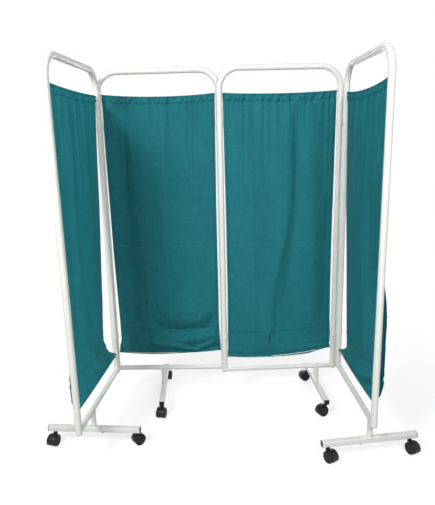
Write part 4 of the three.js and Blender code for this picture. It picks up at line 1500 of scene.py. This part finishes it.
# %% [markdown]
# ## Sewing the curtains
# The settled grid is drawn again on a finer one, with smooth curves through its points. Each sheet
# then gets two faces: they lie close together over most of it, thicker at its hems, and part round
# the wires to make the casings. Small pleats run out from the casings, sharp in their creases and
# round on their backs, and stitches follow the hems.

# %% Curtains
FINE_COLUMNS, FINE_ROWS = 141, 289
HALF_CLOTH = 0.00035
HEM_EXTRA = 0.0004
SIDE_HEM = 0.012
TOP_CASING = 0.030
BOTTOM_HEM = 0.145
CASING_BULGE = 0.0044
CASING_LENGTH = 0.024
CASING_STEPS = 5
# Three kinds of pleats: how many go across, their seed, their depth, how far from the wire they are
# deepest, and how soon they fade from there. The short ones at the top lean to one side.
SHORT_PLEATS = (15.0, 20, 0.0130, 0.020, 0.014)
LONG_PLEATS = (7.0, 40, 0.0110, 0.0, 0.20)
HEM_PLEATS = (17.0, 30, 0.0050, 0.02, 0.02)
PLEAT_SLANT = 1.3
# Pleats stand out and in from the sheet by shares of their depth, and this share counts as level
PLEAT_LEVEL = 0.6
# How far apart stitches lie, how big they are across, off and along their seam, and how far out
STITCH_SPACING = 0.0042
STITCH_SIZE = (0.0003, 0.0003, 0.0014)
STITCH_VARIATION = 0.15
STITCH_LIFT = 0.00015


def smooth_samples(values, count):
    """Rows of values drawn again at a number of even places, on smooth curves through the old rows."""
    places = np.linspace(0, len(values) - 1, count)
    step = np.minimum(places.astype(int), len(values) - 2)
    t = (places - step)[:, None, None]
    before, start = values[np.maximum(step - 1, 0)], values[step]
    end, after = values[step + 1], values[np.minimum(step + 2, len(values) - 1)]
    bend = 2 * before - 5 * start + 4 * end - after
    twist = 3 * (start - end) + after - before
    return start + 0.5 * t * (end - before + t * (bend + t * twist))


def gathers(kind, number, across, from_wire):
    """Pleats of one kind on a curtain: deepest at their place, and fading away from it."""
    count, seed, depth, deepest, fade = kind
    shape = pleats(across, count, seed + number) - PLEAT_LEVEL
    return shape * depth * np.exp(-np.abs(from_wire - deepest) / fade)


def casing_end(points, flat, way):
    """The rows that close a casing over its wire: of its front, its back and the flat sheet."""
    rows = []
    for step in range(1, CASING_STEPS + 1):
        angle = step / CASING_STEPS * math.pi / 2
        rise = way * CASING_BULGE * math.sin(angle)
        lift = points + np.array([0.0, 0.0, rise])
        out = np.array([0.0, -CASING_BULGE * math.cos(angle), 0.0])
        rows.append((lift + out, lift - out, flat + np.array([0.0, rise])))
    return rows


def curtain_parts(panel, sheet):
    """A curtain's two layers, its flat sheet, the lines of its stitches and its size when cut."""
    number = panel.number
    fine = smooth_samples(sheet, FINE_ROWS)
    fine = smooth_samples(fine.transpose(1, 0, 2), FINE_COLUMNS).transpose(1, 0, 2)
    across, up = np.meshgrid(np.linspace(0, 1, FINE_COLUMNS), np.linspace(0, 1, FINE_ROWS))
    flat_width = (panel.width - 2 * EDGE_PLACE) * CLOTH_EASE
    from_bottom = (fine[..., 2] - fine[:1, :, 2]).clip(min=0.0)
    from_top = (fine[-1:, :, 2] - fine[..., 2]).clip(min=0.0)
    gather = gathers(SHORT_PLEATS, number, across + PLEAT_SLANT * from_top, from_top)
    gather += gathers(LONG_PLEATS, number, across, from_top)
    gather += gathers(HEM_PLEATS, number, across, from_bottom)
    gather *= TOWARDS_VIEWER[number]
    gather *= smooth_step(0.0, 0.008, from_top) * smooth_step(0.0, 0.010, from_bottom)
    fine[..., 1] += gather
    along, rising = np.gradient(fine, axis=1), np.gradient(fine, axis=0)
    normal = np.cross(rising, along)
    normal /= np.linalg.norm(normal, axis=-1, keepdims=True)
    near_wire = np.exp(-np.minimum(from_top, from_bottom) / 0.008)[..., None]
    normal = normal * (1 - near_wire) + np.array([0.0, -1.0, 0.0]) * near_wire
    edge = np.minimum(across, 1 - across) * flat_width
    half = HALF_CLOTH + HEM_EXTRA * (
        smooth_step(TOP_CASING + 0.001, TOP_CASING - 0.001, from_top)
        + smooth_step(BOTTOM_HEM + 0.001, BOTTOM_HEM - 0.001, from_bottom)
        + smooth_step(SIDE_HEM + 0.001, SIDE_HEM - 0.001, edge)
    )
    for reach in (from_top, from_bottom):
        swell = (1 - reach / CASING_LENGTH).clip(min=0.0) ** 1.5
        half = half + (CASING_BULGE - half) * swell
    front, back = fine + normal * half[..., None], fine - normal * half[..., None]
    length = float(np.linalg.norm(np.diff(fine, axis=0), axis=-1).sum(axis=0).mean())
    flat = np.stack([across * flat_width, up * length], axis=-1)
    below = casing_end(fine[0], flat[0], -1.0)[::-1]
    above = casing_end(fine[-1], flat[-1], 1.0)
    *layers, uv = (
        np.concatenate([[row[i] for row in below], layer, [row[i] for row in above]])
        for i, layer in enumerate((front, back, flat))
    )
    top_row = np.argmin(np.abs(from_top[:, 0] - TOP_CASING))
    hem_row = np.argmin(np.abs(from_bottom[:, 0] - BOTTOM_HEM))
    side = max(1, round(SIDE_HEM / flat_width * (FINE_COLUMNS - 1)))
    seams = []
    for layer, sign in ((front, 1.0), (back, -1.0)):
        raised = layer + normal * sign * STITCH_LIFT
        seams += [raised[top_row, 1:-1], raised[hem_row, 1:-1]]
        seams += [raised[:, side], raised[:, -1 - side]]
    return layers, uv, seams, (flat_width, length)


def sheet_mesh(name, layers, uv):
    """A closed mesh of two layers of one grid, with the flat sheet as its UV map."""
    rows, columns = uv.shape[:2]
    count = rows * columns
    points = np.concatenate([layer.reshape(-1, 3) for layer in layers])
    corner = grid_corners(rows, columns)
    front = np.stack([corner, corner + columns, corner + columns + 1, corner + 1], axis=1)
    back = front[:, ::-1] + count
    left = np.arange(rows - 1) * columns
    right = left + columns - 1
    sides = np.concatenate([
        np.stack([left, left + count, left + count + columns, left + columns], axis=1),
        np.stack([right, right + columns, right + columns + count, right + count], axis=1),
    ])
    faces = np.concatenate([front, back, sides])
    mesh = bpy.data.meshes.new(name)
    mesh.from_pydata(points.tolist(), [], faces.tolist())
    layer = mesh.uv_layers.new(name=CLOTH_UV)
    corners = np.empty(len(mesh.loops), dtype=np.int64)
    mesh.loops.foreach_get("vertex_index", corners)
    layer.data.foreach_set("uv", np.tile(uv.reshape(-1, 2), (2, 1))[corners].ravel())
    build = bmesh.new()
    build.from_mesh(mesh)
    bmesh.ops.remove_doubles(build, verts=build.verts, dist=1e-7)
    build.to_mesh(mesh)
    build.free()
    mesh.shade_smooth()
    return mesh


for number, panel in panels.items():
    layers, uv, seams, flat_size = curtain_parts(panel, hung[number])
    mesh = sheet_mesh(f"cloth_{number}", layers, uv)
    mesh.transform(panel.matrix)
    width, length = flat_size
    sewn = [("Y", BOTTOM_HEM), ("Y", length - TOP_CASING), ("X", SIDE_HEM), ("X", width - SIDE_HEM)]
    # The curtain's painted light brightens its teal
    finish = cloth_finish(f"teal cloth {number}", PAINTED_LIGHT_SCALE[number], STORAGE_CREASES[number], sewn)
    cloth = add_piece(f"cloth_{number}", mesh, finish, panel.body, "teal_cloth", [f"curtain_{number}"])
    shape = (STITCH_SPACING, STITCH_SIZE, STITCH_VARIATION, 1)
    stitches = beads(f"stitches_{number}", seams, *shape, thread)
    stitches.transform(panel.matrix)
    stitching = add_piece(f"stitching_{number}", stitches, thread, panel.body, "teal_cloth")
    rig.sheet(
        cloth,
        flat=flat_size,
        held="gathered",
        rests_on=[f"wire_top_{number}", f"wire_bottom_{number}"],
        with_pieces=[stitching],
    )
    print(cloth.name, len(mesh.polygons), "faces, cut", [round(size, 3) for size in flat_size], "m")

# %% [markdown]
# ## Floor and light
# The screen stands on a pale floor that fades into a white surround. The key lamp stands high on the
# left, so that the folds show. A weaker lamp near the camera fills in, also inside the left panel,
# and a low one at the back keeps the far side from going dark.

# %% Floor and light
def background_rays(tree):
    """1 for the rays that show the background itself, to the camera or in metal, and 0 for the rest."""
    kinds = add_node(tree, "ShaderNodeLightPath").outputs
    seen = Value(tree, kinds["Is Camera Ray"]) + kinds["Is Glossy Ray"] + kinds["Is Transmission Ray"]
    return seen.math("MINIMUM", 1.0)


WHITE = (1.0, 1.0, 1.0, 1.0)
FLOOR_RADIUS = 6.0
# The floor fades into the surround between these distances from the middle
FADE_START, FADE_END = 0.7, 2.0
floor_mesh = prism("floor", circle(FLOOR_RADIUS, 96), -0.02, 0.0)
floor = bpy.data.objects.new("floor", floor_mesh)
bpy.context.scene.collection.objects.link(floor)
pale_floor = Finish("pale floor", (0.45, 0.45, 0.45), 0.8, Specular_IOR_Level=0.1, Emission_Color=WHITE)
away = pale_floor.axis("X").math("POWER", 2.0) + pale_floor.axis("Y").math("POWER", 2.0)
fade = away.math("SQRT").between(FADE_START, FADE_END)
seen = background_rays(pale_floor.tree)
pale_floor.set(Emission_Strength=seen * 0.66)
white = add_node(pale_floor.tree, "ShaderNodeEmission", None, {"Color": WHITE, "Strength": 1.0})
values = {0: fade * seen, 1: pale_floor.shader.outputs[0], 2: white.outputs[0]}
mixed = add_node(pale_floor.tree, "ShaderNodeMixShader", None, values)
pale_floor.tree.links.new(mixed.outputs[0], pale_floor.output.inputs["Surface"])
floor_mesh.materials.append(pale_floor.material)
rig.stage(floor)

world = bpy.data.worlds.new("white surround")
world.use_nodes = True
tree = world.node_tree
tree.nodes.clear()
direction = add_node(tree, "ShaderNodeTexCoord").outputs["Generated"]
height = Value(tree, add_node(tree, "ShaderNodeSeparateXYZ", None, {"Vector": direction}).outputs["Z"])
soft = height.between(-0.4, 1.0) * 0.13 + 0.15
ambient = add_node(tree, "ShaderNodeBackground", None, {"Color": WHITE, "Strength": soft})
shown = add_node(tree, "ShaderNodeBackground", None, {"Color": WHITE, "Strength": 1.0})
values = {0: background_rays(tree), 1: ambient.outputs[0], 2: shown.outputs[0]}
picked = add_node(tree, "ShaderNodeMixShader", None, values)
add_node(tree, "ShaderNodeOutputWorld", None, {"Surface": picked.outputs[0]})
bpy.context.scene.world = world
bpy.context.scene.view_settings.view_transform = "Standard"

# A lamp's name, its place, the point that it faces, its width and height, and its power in watts
LAMPS = [
    ("key", (-1.8, -2.6, 3.1), (0.1, 0.0, 1.0), (0.9, 0.8), 98.0),
    ("fill", (0.9, -2.6, 2.1), (-0.4, 0.0, 1.0), (1.2, 1.0), 40.0),
    ("back", (0.3, 3.2, 1.1), (0.0, 0.0, 0.9), (1.6, 1.4), 48.0),
]
for name, place, target, (width, height), power in LAMPS:
    data = bpy.data.lights.new(name, "AREA")
    data.shape, data.size, data.size_y, data.energy = "RECTANGLE", width, height, power
    lamp = bpy.data.objects.new(name, data)
    lamp.location = place
    lamp.rotation_euler = (Vector(target) - Vector(place)).to_track_quat("-Z", "Y").to_euler()
    bpy.context.scene.collection.objects.link(lamp)
    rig.stage(lamp)
print("lamps", len(LAMPS))

# %% [markdown]
# ## Last step
# The size of the dressed screen is written beside the size of the frame, and the last call lists
# which piece rides on which body and which parts of the frame are not shown.

# %% Finish
dressed_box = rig.bounds()
sizes = {"cad": [list(corner) for corner in cad_box], "visual": [list(corner) for corner in dressed_box]}
with open("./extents.json", "w") as file:
    json.dump(sizes, file)
print(sizes)
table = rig.finish()
print("pieces", len(table["pieces"]), "hidden nodes", len(table["cad_nodes_not_shown"]))
